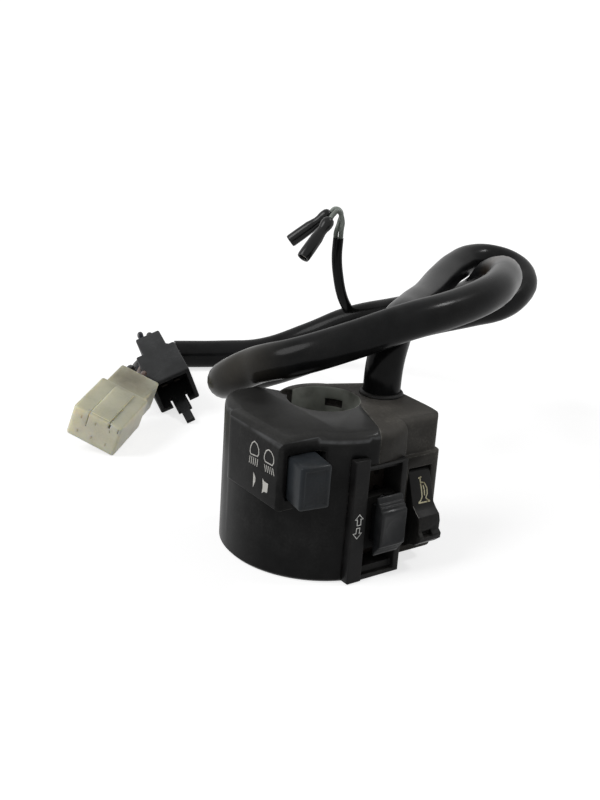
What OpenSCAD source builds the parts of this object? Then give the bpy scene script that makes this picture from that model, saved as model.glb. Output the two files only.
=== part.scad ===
// Handlebar switch cluster for the left end of a motorbike's bar, with its wiring harness.
// The bar's axis is Z, and the cluster stands on its outboard end face at z = 0.
// The switches face -Y, towards the rider's thumb. -X is the upper side on the bike.

/* [Housing] */
// Diameter of the bar that the housing clamps on
bar_d = 22.2; // [22:0.1:22.8]
// Length of the cluster along the bar
body_h = 46; // [45:0.5:50]
// Outer radius of the round housing
barrel_r = 29.3; // [29:0.1:30.5]
// Wall of the housing shells
wall = 2.2; // [1.8:0.1:2.4]
// Wall of the sleeve that grips the bar
grip_wall = 2; // [1.6:0.1:2.4]
// Wall of the open clamp band behind the bar
band_wall = 2.7; // [2.2:0.1:3.2]
// Rounding of the inboard rim
rim_round = 3.5; // [2.5:0.1:4.5]
// Bar axis to the flat back of the upper housing
back_y = 17.5; // [17:0.5:19]
// Gap along the parting of the two housings
seam = 0.1; // [0.05:0.05:0.2]

/* [Dimmer pod] */
// How far the icon face stands out past the barrel
pod_proud = 1.2; // [0.8:0.1:2]
// Bar axis to the pod's front face
pod_front = 22.5; // [22:0.1:23.5]
// Bar axis to the pod's rear end
pod_rear = 7; // [6:0.5:9]
// Underside of the pod above the foot
pod_z = 24.6; // [24:0.1:25]
// Width of the dimmer rocker's knob
dimmer_w = 9.4; // [9:0.1:9.6]
// Height of the dimmer rocker's knob
dimmer_h = 13; // [12.4:0.1:13.4]
// How far the knob stands out of the pod
dimmer_out = 9.2; // [8.4:0.1:10]
// Swing of the dimmer rocker to each side
dimmer_swing = 9; // [7:0.5:10]

/* [Turn switch] */
// Bezel edge to the left of the bar axis
bezel_left = 9.6; // [9.4:0.1:9.8]
// Bezel edge to the right of the bar axis
bezel_right = 9.8; // [9.7:0.1:9.9]
// Top of the arrow ridge above the foot
ridge_top = 38.6; // [38:0.1:39.2]
// Width of the raised ridge with the arrows
ridge_w = 5; // [4.6:0.1:5.1]
// Height of the sliding knob's middle above the foot
turn_z = 17.2; // [17:0.1:18]
// Width of the sliding knob
turn_w = 9; // [8.6:0.1:9.2]
// Travel of the sliding knob to each side
turn_travel = 5; // [4.4:0.1:5.1]
// Push that cancels the turn signal
cancel_travel = 1.8; // [1.2:0.1:2]

/* [Horn] */
// Width of the horn paddle
horn_w = 8; // [7.6:0.1:8.4]
// Middle of the horn paddle to the right of the bar axis
horn_x = 16.5; // [16.4:0.1:16.8]
// Swing of the paddle when pressed
horn_swing = 6; // [4:0.5:6.5]
// Diameter of the paddle's hinge pin
horn_pin_d = 2; // [1.6:0.1:2.2]

/* [Fasteners] */
// Thread diameter of the two housing screws
screw_d = 4; // [3.5:0.1:4.2]
// Thread diameter of the small screws
small_screw_d = 2; // [1.8:0.1:2.2]

/* [Harness] */
// Outer diameter of the harness sheath
sheath_d = 11.6; // [10.6:0.1:11.8]
// Wall of the harness sheath
sheath_wall = 1.2; // [1:0.1:1.6]
// Outer diameter of the branch sleeve
branch_d = 4.4; // [4:0.1:5]
// Outer diameter of one wire
wire_d = 2; // [1.6:0.1:2.2]
// Width of the white connector
white_w = 19; // [18.6:0.1:20]
// Length of the white connector
white_l = 36; // [35:0.5:38]
// Thickness of the white connector
white_t = 13; // [12.8:0.1:14]
// Width of the black connector
black_w = 16.2; // [16:0.1:17]
// Length of the black connector
black_l = 31.5; // [31:0.5:33]
// Thickness of the black connector
black_t = 15.2; // [15:0.1:16]

/* [Hidden] */

// Smoothness of round things
$fn = 48;
// Larger than anything that is cut
far = 120;
// Overlap that makes a cut or a join clean
eps = 0.02;
// Room between pieces that move past each other
run_gap = 0.3;
// Room between pieces that are seated in each other
seat_gap = 0.05;

// Housing
bore_r = bar_d / 2;
sleeve_r = bore_r + grip_wall;
band_r = bore_r + band_wall;
inner_r = barrel_r - wall;
foot_edge = 1;
split_angle = -54.4;
split_front_x = -1;
split_knee = (bore_r + 0.4) * [cos(split_angle), sin(split_angle)];
split_front = [split_front_x, -barrel_r];
split_out = split_knee + 1.6 * (split_front - split_knee);
split_back = far * [-cos(split_angle), -sin(split_angle)];
seam_step = seam * [cos(split_angle + 90), sin(split_angle + 90)];

// Housing screws, along the normal of the parting plane
screw_r = screw_d / 2;
screw_gap = 0.2;
screw_head_r = screw_r * 1.8;
screw_head_h = screw_r * 1.2;
boss_r = screw_r + 2.2;
screw_q = sleeve_r + boss_r + 0.2;
rear_screw_z = body_h / 2;
front_screw_z = 9;
ear_t = 6;
column_r = screw_head_r + 1.6;
front_seat = 7;
tongue_t = 3;
thread_in = 9;

// Dimmer pod and rocker
pod_x = barrel_r + pod_proud;
pod_edge = 4;
pod_corner = 5;
pod_join_x = -10;
dimmer_x = -pod_x + wall + 6.1;
dimmer_y = -pod_front + 4.1;
dimmer_z = pod_z + wall + dimmer_h / 2 + 0.9;
dimmer_front = pod_front + dimmer_out + dimmer_y;
dimmer_back = 2.6;
dimmer_room = dimmer_w / 2 / cos(dimmer_swing) + run_gap;
dimmer_left = dimmer_room + (pod_front + dimmer_y) * tan(dimmer_swing);
dimmer_right = dimmer_room + (pod_front + dimmer_y + 1.8) * tan(dimmer_swing);
dimmer_window_h = dimmer_h + 2 * run_gap;
trunk_w = 5.2;
trunk_h = 7;
trunk_front = 7;
tail_w = 4;
tail_h = 4.2;
tail_y = 9;
dimmer_pin_r = 1;
pin_gap = 0.04;
arm_t = 2;
arm_gap = 0.4;
arm_r = 1.9;
dimmer_plate_y = 11.2;
dimmer_plate_t = 2;
dimmer_plate_w = 11.4;
shelf_t = 2;
shelf_z = dimmer_z - trunk_h / 2 - arm_gap - arm_t - 0.4;
foot_x = 2.8;
foot_h = 4;
foot_d = 3.6;
contact_t = 0.5;
ball_r = 1.1;

// Turn switch
bezel_y = barrel_r + 0.3;
ridge_y = bezel_y + 0.5;
bezel_z = 0.3;
bezel_skin = 1.7;
bezel_flange = 2.6;
bezel_lip = 0.9;
bezel_foot_bar = 1.4;
bezel_top = ridge_top - 2.6;
bezel_top_bar = 0.8;
bezel_bar = 2;
side_wall = 3.3;
window_left = -bezel_left + ridge_w;
window_right = bezel_right - bezel_bar;
spigot_left = -bezel_left + bezel_lip;
spigot_right = bezel_right - bezel_lip;
spigot_z0 = wall + 0.2;
spigot_z1 = bezel_top - 1;
spigot_wall = 1.2;
board_left = -bezel_left - 0.6;
board_right = bezel_right - 0.2;
turn_x = window_right - 0.4 - turn_w / 2;
carriage_y = bezel_y - bezel_skin - run_gap;
carriage_t = 3;
stem_back = carriage_y - carriage_t - run_gap;
stem_flange = 0.6;
board_y = stem_back - stem_flange - cancel_travel - run_gap - 0.1;
board_t = 2.2;
carriage_half = 8.2;
carriage_left = spigot_left + side_wall + run_gap;
carriage_right = window_right - run_gap;
turn_front = barrel_r + 4.7;
turn_shoulder = carriage_y + cancel_travel + 1;
shoulder_half = 9.2;
pad_half = 5.5;
stem_w = 6.4;
stem_half = 5.6;
detent_x = carriage_left + 1.8;
detent_boss_r = 1.8;
turn_contact_z = 7.45;
turn_contact_x = [-1, 5];
cancel_spring_z = 7.05;
cancel_spring_r = 0.85;
turn_screw_x = spigot_left + 1.7;
turn_screw_z = [6.5, 32.6];

// Horn
lobe_z = 4.5;
lobe_step_z = 35;
lobe_face = barrel_r - 3.6;
lobe_proud = 1.8;
lobe_corner_x = 24.8;
lobe_round = 3;
panel_x = 10.5;
cheek_y = barrel_r - 8.8;
cheek_left = bezel_right;
horn_half = horn_w / 2 + 0.4;
horn_z0 = 6.4;
horn_z1 = 31.4;
horn_pin_r = horn_pin_d / 2;
horn_pin_y = -barrel_r + 5.9;
horn_pin_z = 28.6;
horn_plate_t = 1.5;
horn_plate_z = [7, 28];
horn_screw_x = 22.8;
horn_screw_z = [9.5, 25.5];
horn_contact_x = horn_x + 2;
horn_contact_z = 14;
horn_spring_x = horn_x - 2.2;
horn_spring_z = 12.5;
horn_back = barrel_r - 2.2;
horn_stud = 0.8;
horn_reach = (horn_pin_z - horn_contact_z) * sin(horn_swing);

// Small screws
small_r = small_screw_d / 2;
small_head_r = small_r * 1.8;
small_head_h = 1.3;
horn_plate_x = horn_screw_x + small_head_r;

// Cable exit
sheath_r = sheath_d / 2;
grommet_wall = 0.6;
exit_x = sleeve_r + grommet_wall + sheath_r;
exit_y = -3.2;
lobe_x = exit_x + sheath_r + grommet_wall + 1.6;
lobe_back = exit_y + sheath_r + grommet_wall + 1.6;
sheath_start_z = body_h - 12;
tie_t = 0.7;
tie_h = 3;
tie_z = body_h - 10;
grommet_in = 1.2;
grommet_out = 1;
grommet_lip = 0.4;
inner_wire_r = 0.7;

// Slot and relief in the clamp bore
slot_w = 5.6;
slot_h = 2.4;
slot_z = body_h - 5;
slot_depth = band_wall * 0.6;
relief_r = 2.6;
relief_h = 5;

// Route of the harness, from inside the housing to the end of its sheath
harness_route = [
    [exit_x, exit_y, sheath_start_z], [exit_x, exit_y, body_h + grommet_out + 0.5],
    [20.5, -2.5, 55], [25, 1, 60.5], [33, 8, 63],
    [51, 23, 62], [73, 40, 60], [96, 57.5, 60.5], [110, 66, 61.5], [121, 69.5, 62.5], [129.5, 67, 62.3],
    [133.5, 59.5, 60.7], [131, 51, 58], [123, 45, 55], [112, 42.5, 52], [100, 44, 50.5], [83, 48, 48],
    [60, 49, 45.5], [38, 48, 42.5], [19, 47.5, 39.5], [3, 46, 38.5], [-7, 41.5, 39.5], [-13, 34, 43],
    [-14, 26.5, 47.5], [-12, 20, 51.7], [-11, 13, 55], [-7, 5, 58.5], [6, -3, 64], [22, -7.5, 69],
    [41, -8, 71.5],
    [60, -3, 73], [76, 7.5, 72.5], [90, 20, 70.8], [102, 34.5, 67.5], [110, 48, 62], [115.5, 58.5, 54],
    [118.5, 71, 46.5], [118.5, 86, 40], [115, 105, 32.5], [106, 126, 23.5], [95, 138, 14.5], [77, 147, 7],
    [61, 153.5, 6], [41, 161.5, 6]
];
sheath_end = harness_route[len(harness_route) - 1];
sheath_way = unit(sheath_end - harness_route[len(harness_route) - 2]);
// Route of the branch sleeve, from the harness up to its two wires
branch_route = [[104, 124, 29.5], [99, 122, 36], [95, 120.5, 45], [93, 120, 54], [93, 120, 62]];
// The two branch wires, and the axes of the bullet sleeves on their ends
front_bullet = [[88.5, 120.5, 70.2], [73.5, 117, 56]];
rear_bullet = [[93, 126.5, 71.5], [79, 134.5, 58.5]];
front_wire_route = [
    [93.5, 119, 62], [93.5, 119, 65], [94.2, 119.8, 69.5], [92.6, 121, 73],
    front_bullet[0] - 2.5 * unit(front_bullet[1] - front_bullet[0]), front_bullet[0]
];
rear_wire_route = [
    [92.5, 121.2, 62], [92.5, 121.2, 64], [94.4, 122, 68], [96, 123.6, 72],
    rear_bullet[0] - 2.5 * unit(rear_bullet[1] - rear_bullet[0]), rear_bullet[0]
];
bullet_r = 2.7;
bullet_pin_r = 1.6;
bullet_pin_l = 8;

// Connectors, each lying tipped on the surface that the cluster stands on
white_turn = [10, 20, -49];
white_at = [-33, 90.7];
black_turn = [15, -23.4, -17.4];
black_at = [16.1, 111.6];
white_lift = white_w / 2 * sin(abs(white_turn[1]));
black_lift = black_w / 2 * sin(abs(black_turn[1]));
shell = 1.6;
white_step = white_l * 0.62;
white_low = 3.4;
white_high = white_t - 3.4;
white_side = 5.6;
white_rows = [white_low, white_high];
white_columns = [-white_side, 0, white_side];
white_cell = 3.2;
slit_w = 0.7;
slit_h = 1.8;
latch_w = 7.6;
latch_x = 0.7;
latch_h = 0.7;
black_step = black_l * 0.645;
black_rear = 5.1;
black_side = 2.6;
black_columns = [-black_side, black_side];
black_cell = 3.6;
socket_depth = 14;
tongue_w = 5.6;
tongue_x = 0.5;
tongue_l = 5;
tongue_low = 0.2;
notch_gap = 0.7;
finger_w = 3.4;
finger_l = 12;
tab_w = 2.4;
tab_t = 0.8;
wire_lead = 4;
wire_in = 2.8;
// Middle of the wire bundles between the end of the sheath and the connectors
white_wire_route = [[31, 162, 6], [22, 155.5, 6], [14, 145, 7], [7, 133.5, 9], [2, 122.5, 12.5]];
black_wire_route = [[32, 163.5, 8.5], [25.5, 159.5, 12.5], [21.5, 152, 16.5]];
// The cell that each wire enters, and where the wire leaves the sheath, from the sheath's middle
white_wire_cells = [
    [-white_side, white_low, 1.4, -1.6], [0, white_low, -1.4, -1.6],
    [-white_side, white_high, 1.4, 0.8], [0, white_high, -1.4, 0.8]
];
black_wire_cells = [[-black_side, 1.9, 3.2], [black_side, -1.9, 3.2]];

// Shared shapes

function arc(c, r, from, to, n = 6) =
    [for (i = [0 : n]) c + r * [cos(from + (to - from) * i / n), sin(from + (to - from) * i / n)]];

function unit(v) = v / norm(v);

function tangents(p) =
    [for (i = [0 : len(p) - 1]) unit(p[min(i + 1, len(p) - 1)] - p[max(i - 1, 0)])];

function carried(t, n, i = 0) =
    i >= len(t) ? [] : let (m = unit(n - (n * t[i]) * t[i])) concat([m], carried(t, m, i + 1));

function ring(c, u, v, r, sides) =
    [for (k = [0 : sides - 1]) c + r * (cos(360 * k / sides) * u + sin(360 * k / sides) * v)];

// A point turned about X, then Y, then Z
function turned(v, a) = let (
    x = [v[0], v[1] * cos(a[0]) - v[2] * sin(a[0]), v[1] * sin(a[0]) + v[2] * cos(a[0])],
    y = [x[0] * cos(a[1]) + x[2] * sin(a[1]), x[1], x[2] * cos(a[1]) - x[0] * sin(a[1])])
    [y[0] * cos(a[2]) - y[1] * sin(a[2]), y[0] * sin(a[2]) + y[1] * cos(a[2]), y[2]];

// A closed tube swept along a list of points, with one ring of sides at each
module tube(path, r, sides) {
    t = tangents(path);
    n = carried(t, unit([0.31, 0.9, 0.28]));
    rings = [for (i = [0 : len(path) - 1]) each ring(path[i], n[i], cross(t[i], n[i]), r, sides)];
    last = (len(path) - 1) * sides;
    walls = [for (i = [0 : len(path) - 2]) for (k = [0 : sides - 1])
        let (a = i * sides + k, b = i * sides + (k + 1) % sides)
        each [[a, a + sides, b + sides], [a, b + sides, b]]];
    first_cap = [for (k = [0 : sides - 1]) k];
    last_cap = [for (k = [0 : sides - 1]) last + sides - 1 - k];
    polyhedron(rings, concat(walls, [first_cap, last_cap]), convexity = 10);
}

// A hose swept like a tube, open at its first end, with its bore ending at the last point but one
module hose(path, r, bore, sides) {
    t = tangents(path);
    n = carried(t, unit([0.31, 0.9, 0.28]));
    last = len(path) - 1;
    outer = [for (i = [0 : last]) each ring(path[i], n[i], cross(t[i], n[i]), r, sides)];
    inner = [for (i = [0 : last - 1]) each ring(path[i], n[i], cross(t[i], n[i]), bore, sides)];
    base = len(outer);
    skin = [for (i = [0 : last - 1]) for (k = [0 : sides - 1])
        let (a = i * sides + k, b = i * sides + (k + 1) % sides)
        each [[a, a + sides, b + sides], [a, b + sides, b]]];
    lining = [for (i = [0 : last - 2]) for (k = [0 : sides - 1])
        let (a = base + i * sides + k, b = base + i * sides + (k + 1) % sides)
        each [[a, b + sides, a + sides], [a, b, b + sides]]];
    rim = [for (k = [0 : sides - 1])
        let (next = (k + 1) % sides)
        each [[k, next, base + next], [k, base + next, base + k]]];
    end = [for (k = [0 : sides - 1]) last * sides + sides - 1 - k];
    bottom = [for (k = [0 : sides - 1]) base + (last - 1) * sides + k];
    polyhedron(concat(outer, inner), concat(skin, lining, rim, [end, bottom]), convexity = 10);
}

// A coil spring along Z with its middle line on radius r
module coil(r, length, turns, wire) {
    steps = 10;
    path = [for (i = [0 : turns * steps])
        [r * cos(360 * i / steps), r * sin(360 * i / steps), wire + (length - 2 * wire) * i / (turns * steps)]];
    tube(path, wire, 6);
}

// A plan or profile drawn in XZ and pushed through Y
module through_y(points) {
    translate([0, far / 2, 0]) rotate([90, 0, 0]) linear_extrude(far) polygon(points);
}

// A profile drawn in YZ and pushed through X, from x0 to x1
module through_x(points, x0, x1) {
    translate([x0, 0, 0]) rotate([90, 0, 90]) linear_extrude(x1 - x0) polygon(points);
}

// A box given by its lowest and highest corners
module span(low, high) {
    translate(low) cube(high - low);
}

// A cylinder along Y, from y0 to y1
module rod_y(x, z, r, y0, y1) {
    translate([x, y1, z]) rotate([90, 0, 0]) cylinder(r = r, h = y1 - y0);
}

// A cylinder along X, from x0 to x1
module rod_x(y, z, r, x0, x1) {
    translate([x0, y, z]) rotate([0, 90, 0]) cylinder(r = r, h = x1 - x0);
}

// The parting plane's frame: X along its normal, Y outwards behind the bar
module at_split() {
    rotate([0, 0, split_angle + 90]) children();
}

// A cylinder along the parting plane's normal
module rod_p(q, z, r, p0, p1) {
    at_split() rod_x(q, z, r, p0, p1);
}

module small_screw_y(x, z, seat_y, depth) {
    rod_y(x, z, small_head_r, seat_y, seat_y + small_head_h);
    rod_y(x, z, small_r, seat_y - depth, seat_y + eps);
}

// The space on each side of the parting

module upper_side() {
    translate([0, 0, -1]) linear_extrude(body_h + 2)
        polygon([split_knee, split_out, [-far, -far], [-far, far], split_back, [0, 0]]);
}

module lower_side() {
    translate([seam_step[0], seam_step[1], -1]) linear_extrude(body_h + 2)
        polygon([split_knee, split_out, [far, -far], [far, far], split_back, [0, 0]]);
}

// Housings

module barrel() {
    rotate_extrude($fn = 96)
        polygon(concat(
            [[0, 0], [barrel_r - foot_edge, 0], [barrel_r, foot_edge]],
            arc([barrel_r - rim_round, body_h - rim_round], rim_round, 0, 90),
            [[0, body_h]]));
}

module bar_bore() {
    translate([0, 0, -1]) cylinder(r = bore_r, h = body_h + 2, $fn = 96);
    at_split() translate([0, bore_r, body_h - relief_h]) cylinder(r = relief_r, h = far);
}

module pod_form() {
    plan = concat(
        [[pod_join_x, -pod_front], [-pod_x + foot_edge, -pod_front], [-pod_x, -pod_front + foot_edge]],
        arc([-pod_x + pod_corner, pod_rear - pod_corner], pod_corner, 180, 90),
        [[pod_join_x, pod_rear]]);
    across = concat(
        [[pod_join_x, pod_z], [-pod_x + foot_edge / 2, pod_z], [-pod_x, pod_z + foot_edge / 2]],
        arc([-pod_x + pod_edge, body_h - pod_edge], pod_edge, 180, 90),
        [[pod_join_x, body_h]]);
    along = concat(
        [[-pod_front, pod_z]],
        arc([-pod_front + wall, body_h - wall], wall, 180, 90),
        arc([pod_rear - pod_corner, body_h - pod_corner], pod_corner, 90, 0),
        [[pod_rear, pod_z]]);
    intersection() {
        translate([0, 0, pod_z]) linear_extrude(body_h - pod_z) polygon(plan);
        through_y(across);
        through_x(along, -far, far);
    }
}

module upper_form() {
    intersection() {
        barrel();
        span([-far, -far, 0], [far, back_y, body_h]);
    }
    pod_form();
}

module upper_hollow() {
    difference() {
        union() {
            intersection() {
                translate([0, 0, wall]) cylinder(r = inner_r, h = body_h - 2 * wall, $fn = 96);
                span([-far, -far, 0], [far, back_y - wall, body_h]);
            }
            span([-pod_x + wall, -pod_front + wall, pod_z + wall],
                [pod_join_x, pod_rear - wall, body_h - wall]);
        }
        cylinder(r = sleeve_r, h = body_h);
        at_split() span([-wall, 0, 0], [wall, far, body_h]);
    }
}

// Block around the turn switch's opening, which its bezel and contact board pinch
module turn_seat() {
    span([board_left - 0.6, -barrel_r - 1, 0], [panel_x, -board_y, ridge_top + wall]);
}

module turn_opening() {
    flange_y = -bezel_y + bezel_flange;
    span([-bezel_left - 0.1, -far, -1], [bezel_right + 0.1, flange_y, bezel_top + 0.1]);
    span([-bezel_left - 0.1, -far, -1], [window_left + 0.1, flange_y, ridge_top + 0.1]);
    span([spigot_left - 0.1, -far, spigot_z0 - 0.1], [spigot_right + 0.1, -board_y + 1, spigot_z1 + 0.1]);
    span([board_left - 0.1, -board_y, spigot_z0 - 0.1],
        [board_right + 0.1, -board_y + board_t, spigot_z1 + 0.1]);
}

module dimmer_shelf() {
    intersection() {
        cylinder(r = barrel_r, h = body_h);
        span([-far, dimmer_y + dimmer_plate_y - 3, shelf_z - shelf_t],
            [dimmer_x + dimmer_plate_w / 2 + 1,
                dimmer_y + dimmer_plate_y + dimmer_plate_t + foot_d + 1, shelf_z]);
    }
}

module upper_bosses() {
    rod_p(screw_q, rear_screw_z, boss_r, -thread_in - 2, 0);
    at_split() span([-thread_in - 2, screw_q, rear_screw_z - boss_r],
        [0, screw_q + boss_r + 4, rear_screw_z + boss_r]);
}

// Tongue that reaches from the sleeve to the front screw
module front_tongue(room = 0) {
    half = boss_r + room;
    face = room - seat_gap;
    at_split() span([-tongue_t - room, -screw_q, front_screw_z - half], [face, 0, front_screw_z + half]);
    rod_p(-screw_q, front_screw_z, half, -tongue_t - room, face);
}

module upper_housing() {
    color("#2b2c2e") difference() {
        union() {
            intersection() {
                difference() {
                    upper_form();
                    upper_hollow();
                }
                upper_side();
            }
            intersection() {
                upper_form();
                upper_side();
                union() {
                    turn_seat();
                    dimmer_shelf();
                    upper_bosses();
                }
            }
            front_tongue();
        }
        bar_bore();
        turn_opening();
        span([dimmer_x - dimmer_left, -far, dimmer_z - dimmer_window_h / 2],
            [dimmer_x + dimmer_right, dimmer_y + 1, dimmer_z + dimmer_window_h / 2]);
        rod_p(screw_q, rear_screw_z, screw_r + seat_gap, -thread_in, 1);
        rod_p(-screw_q, front_screw_z, screw_r + seat_gap, -tongue_t - 1, 1);
        for (side = [-1, 1])
            translate([dimmer_x + side * foot_x, dimmer_foot_y, shelf_z - shelf_t - 1])
                cylinder(r = small_r + screw_gap, h = shelf_t + 2);
    }
}

module lobe_form() {
    plan = concat(
        [[0, 0], [0, -lobe_face]],
        arc([lobe_corner_x - lobe_round, -lobe_face + lobe_round], lobe_round, 270, 360),
        [[lobe_x, exit_y - sheath_r]],
        arc([lobe_x - pod_edge, lobe_back - pod_edge], pod_edge, 0, 90),
        [band_r * [cos(50), sin(50)]]);
    proud_plan = concat(
        [[panel_x, 0], [panel_x, -lobe_face - lobe_proud]],
        arc([lobe_corner_x - lobe_round, -lobe_face - lobe_proud + lobe_round], lobe_round, 270, 360),
        [[lobe_corner_x, 0]]);
    across = concat(
        [[-far, lobe_z], [lobe_x, lobe_z]],
        arc([lobe_x - lobe_round, body_h - lobe_round], lobe_round, 0, 90),
        [[-far, body_h]]);
    along = concat(
        [[far, lobe_z], [-far, lobe_z], [-far, lobe_step_z], [-lobe_face, lobe_step_z]],
        arc([-lobe_face + lobe_round, body_h - lobe_round], lobe_round, 180, 90),
        [[far, body_h]]);
    intersection() {
        union() {
            linear_extrude(body_h) polygon(plan);
            linear_extrude(lobe_step_z) polygon(proud_plan);
        }
        through_y(across);
        through_x(along, -far, far);
    }
}

module lower_form() {
    intersection() {
        barrel();
        span([-far, -far, 0], [panel_x, 0, body_h]);
    }
    lobe_form();
    cylinder(r = band_r, h = body_h);
}

module lower_hollow() {
    difference() {
        union() {
            intersection() {
                translate([0, 0, wall]) cylinder(r = inner_r, h = body_h - 2 * wall, $fn = 96);
                span([-far, -far, 0], [panel_x - wall, 0, body_h]);
            }
            translate([0, 0, lobe_z + wall]) linear_extrude(body_h - lobe_z - 2 * wall)
                polygon([
                    [0, 0], [0, -lobe_face + wall], [lobe_corner_x - wall, -lobe_face + wall],
                    [lobe_x - wall, exit_y - sheath_r], [lobe_x - wall, lobe_back - 2 * wall],
                    [lobe_x - pod_edge - wall, lobe_back - wall],
                    [band_r * cos(50) - wall / 2, band_r * sin(50) - wall]
                ]);
        }
        cylinder(r = sleeve_r, h = body_h);
        at_split() span([0, 0, 0], [wall, far, body_h]);
    }
}

// Cheeks on both sides of the horn paddle, which hold its pin
module horn_cheeks() {
    span([cheek_left, -lobe_face - lobe_proud, lobe_z], [horn_x - horn_half, -cheek_y, horn_z1 + wall]);
    span([horn_x + horn_half, -lobe_face - lobe_proud, lobe_z], [lobe_corner_x, -cheek_y, horn_z1 + wall]);
}

module rear_ear() {
    at_split() span([0, 0, rear_screw_z - boss_r], [ear_t, screw_q, rear_screw_z + boss_r]);
    rod_p(screw_q, rear_screw_z, boss_r, 0, ear_t);
}

module lower_housing() {
    color("#4a4642") difference() {
        union() {
            intersection() {
                difference() {
                    lower_form();
                    lower_hollow();
                }
                lower_side();
            }
            intersection() {
                lower_form();
                lower_side();
                union() {
                    turn_seat();
                    horn_cheeks();
                    rod_p(-screw_q, front_screw_z, column_r, 0, far);
                }
            }
            intersection() {
                rear_ear();
                lower_side();
            }
        }
        bar_bore();
        turn_opening();
        front_tongue(seam);
        span([horn_x, -cheek_y, horn_plate_z[0] - seat_gap],
            [horn_plate_x + seat_gap, -cheek_y + horn_plate_t + small_head_h, horn_plate_z[1] + seat_gap]);
        span([horn_x - horn_half, -far, horn_z0], [horn_x + horn_half, -cheek_y, horn_z1]);
        rod_x(horn_pin_y, horn_pin_z, horn_pin_r + seat_gap / 2, cheek_left - 1, horn_screw_x + 1);
        for (z = horn_screw_z)
            rod_y(horn_screw_x, z, small_r + seat_gap, -cheek_y - 5, -cheek_y + 1);
        rod_p(screw_q, rear_screw_z, screw_r + screw_gap, -1, far);
        rod_p(-screw_q, front_screw_z, screw_r + screw_gap, -1, far);
        rod_p(-screw_q, front_screw_z, screw_head_r + screw_gap, front_seat, far);
        translate([exit_x, exit_y, body_h - wall - 1])
            cylinder(r = sheath_r + grommet_wall + seat_gap, h = far);
        translate([exit_x, exit_y, sheath_start_z - 1])
            cylinder(r = sheath_r + tie_t + 2 * seat_gap, h = body_h - wall - sheath_start_z + 1);
        at_split() span([bore_r - 1, -slot_w / 2, slot_z - slot_h / 2],
            [bore_r + slot_depth, slot_w / 2, slot_z + slot_h / 2]);
    }
}

module housing_screw(q, z, seat_p, depth) {
    rod_p(q, z, screw_head_r, seat_p, seat_p + screw_head_h);
    rod_p(q, z, screw_r, seat_p - depth, seat_p + eps);
}

module housing_screws() {
    color("#b9b7b0") {
        housing_screw(screw_q, rear_screw_z, ear_t, ear_t + thread_in - 1);
        housing_screw(-screw_q, front_screw_z, front_seat, front_seat + tongue_t);
    }
}

// Dimmer rocker, drawn about its own pivot and turned to its rest

dimmer_foot_y = dimmer_y + dimmer_plate_y + dimmer_plate_t + foot_d / 2;
dimmer_stud_y = dimmer_y + dimmer_plate_y + dimmer_plate_t + 0.6;

module dimmer_place() {
    translate([dimmer_x, dimmer_y, dimmer_z]) rotate([0, 0, -dimmer_swing]) children();
}

module dimmer_fixed() {
    translate([dimmer_x, dimmer_y, dimmer_z]) children();
}

module dimmer_knob() {
    half = dimmer_w / 2;
    dish = 0.5;
    edge = 1;
    plan = [
        [-half, -dimmer_back], [-half, -dimmer_front + edge], [-half + edge, -dimmer_front],
        [0, -dimmer_front + dish], [half - edge, -dimmer_front], [half, -dimmer_front + edge], [half, -dimmer_back]
    ];
    color("#3a4149") dimmer_place() difference() {
        translate([0, 0, -dimmer_h / 2]) linear_extrude(dimmer_h) polygon(plan);
        span([-trunk_w / 2 - seat_gap, -trunk_front - seat_gap, -trunk_h / 2 - seat_gap],
            [trunk_w / 2 + seat_gap, 0, trunk_h / 2 + seat_gap]);
    }
}

module dimmer_rocker() {
    color("#d8d3c4") dimmer_place() difference() {
        union() {
            span([-trunk_w / 2, -trunk_front, -trunk_h / 2], [trunk_w / 2, tail_y - 3, trunk_h / 2]);
            span([-tail_w / 2, tail_y - 4, -tail_h / 2], [tail_w / 2, tail_y, tail_h / 2]);
        }
        translate([0, 0, -trunk_h]) cylinder(r = dimmer_pin_r + pin_gap, h = 2 * trunk_h);
        rod_y(0, 0, ball_r + seat_gap, 3, far);
    }
}

module dimmer_pivot_pin() {
    reach = trunk_h / 2 + arm_gap + arm_t;
    color("#c9c9c6") dimmer_fixed()
        translate([0, 0, -reach]) cylinder(r = dimmer_pin_r, h = 2 * reach);
}

module dimmer_base() {
    arm_z = trunk_h / 2 + arm_gap;
    low = shelf_z - dimmer_z;
    color("#1d1d1f") dimmer_fixed() difference() {
        union() {
            span([-dimmer_plate_w / 2, dimmer_plate_y, low],
                [dimmer_plate_w / 2, dimmer_plate_y + dimmer_plate_t, -low]);
            for (side = [-1, 1]) {
                z = side > 0 ? arm_z : -arm_z - arm_t;
                span([-arm_r, 0, z], [arm_r, dimmer_plate_y + eps, z + arm_t]);
                translate([0, 0, z]) cylinder(r = arm_r, h = arm_t);
                span([side * foot_x - foot_d / 2, dimmer_plate_y + dimmer_plate_t - eps, low],
                    [side * foot_x + foot_d / 2, dimmer_plate_y + dimmer_plate_t + foot_d, low + foot_h]);
            }
        }
        translate([0, 0, -far]) cylinder(r = dimmer_pin_r + seat_gap / 2, h = 2 * far);
        for (side = [-1, 1]) {
            translate([side * foot_x, dimmer_plate_y + dimmer_plate_t + foot_d / 2, low - 1])
                cylinder(r = small_r + seat_gap, h = foot_h);
            rod_y(side * 4, 0, 0.8 + seat_gap, dimmer_plate_y - 1, dimmer_plate_y + dimmer_plate_t + 1);
        }
    }
}

module dimmer_moving_contact() {
    color("#b8892f") dimmer_place() difference() {
        span([-4.6, tail_y, -1.2], [4.6, tail_y + contact_t, 1.2]);
        rod_y(0, 0, ball_r + seat_gap, 0, far);
    }
}

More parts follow.
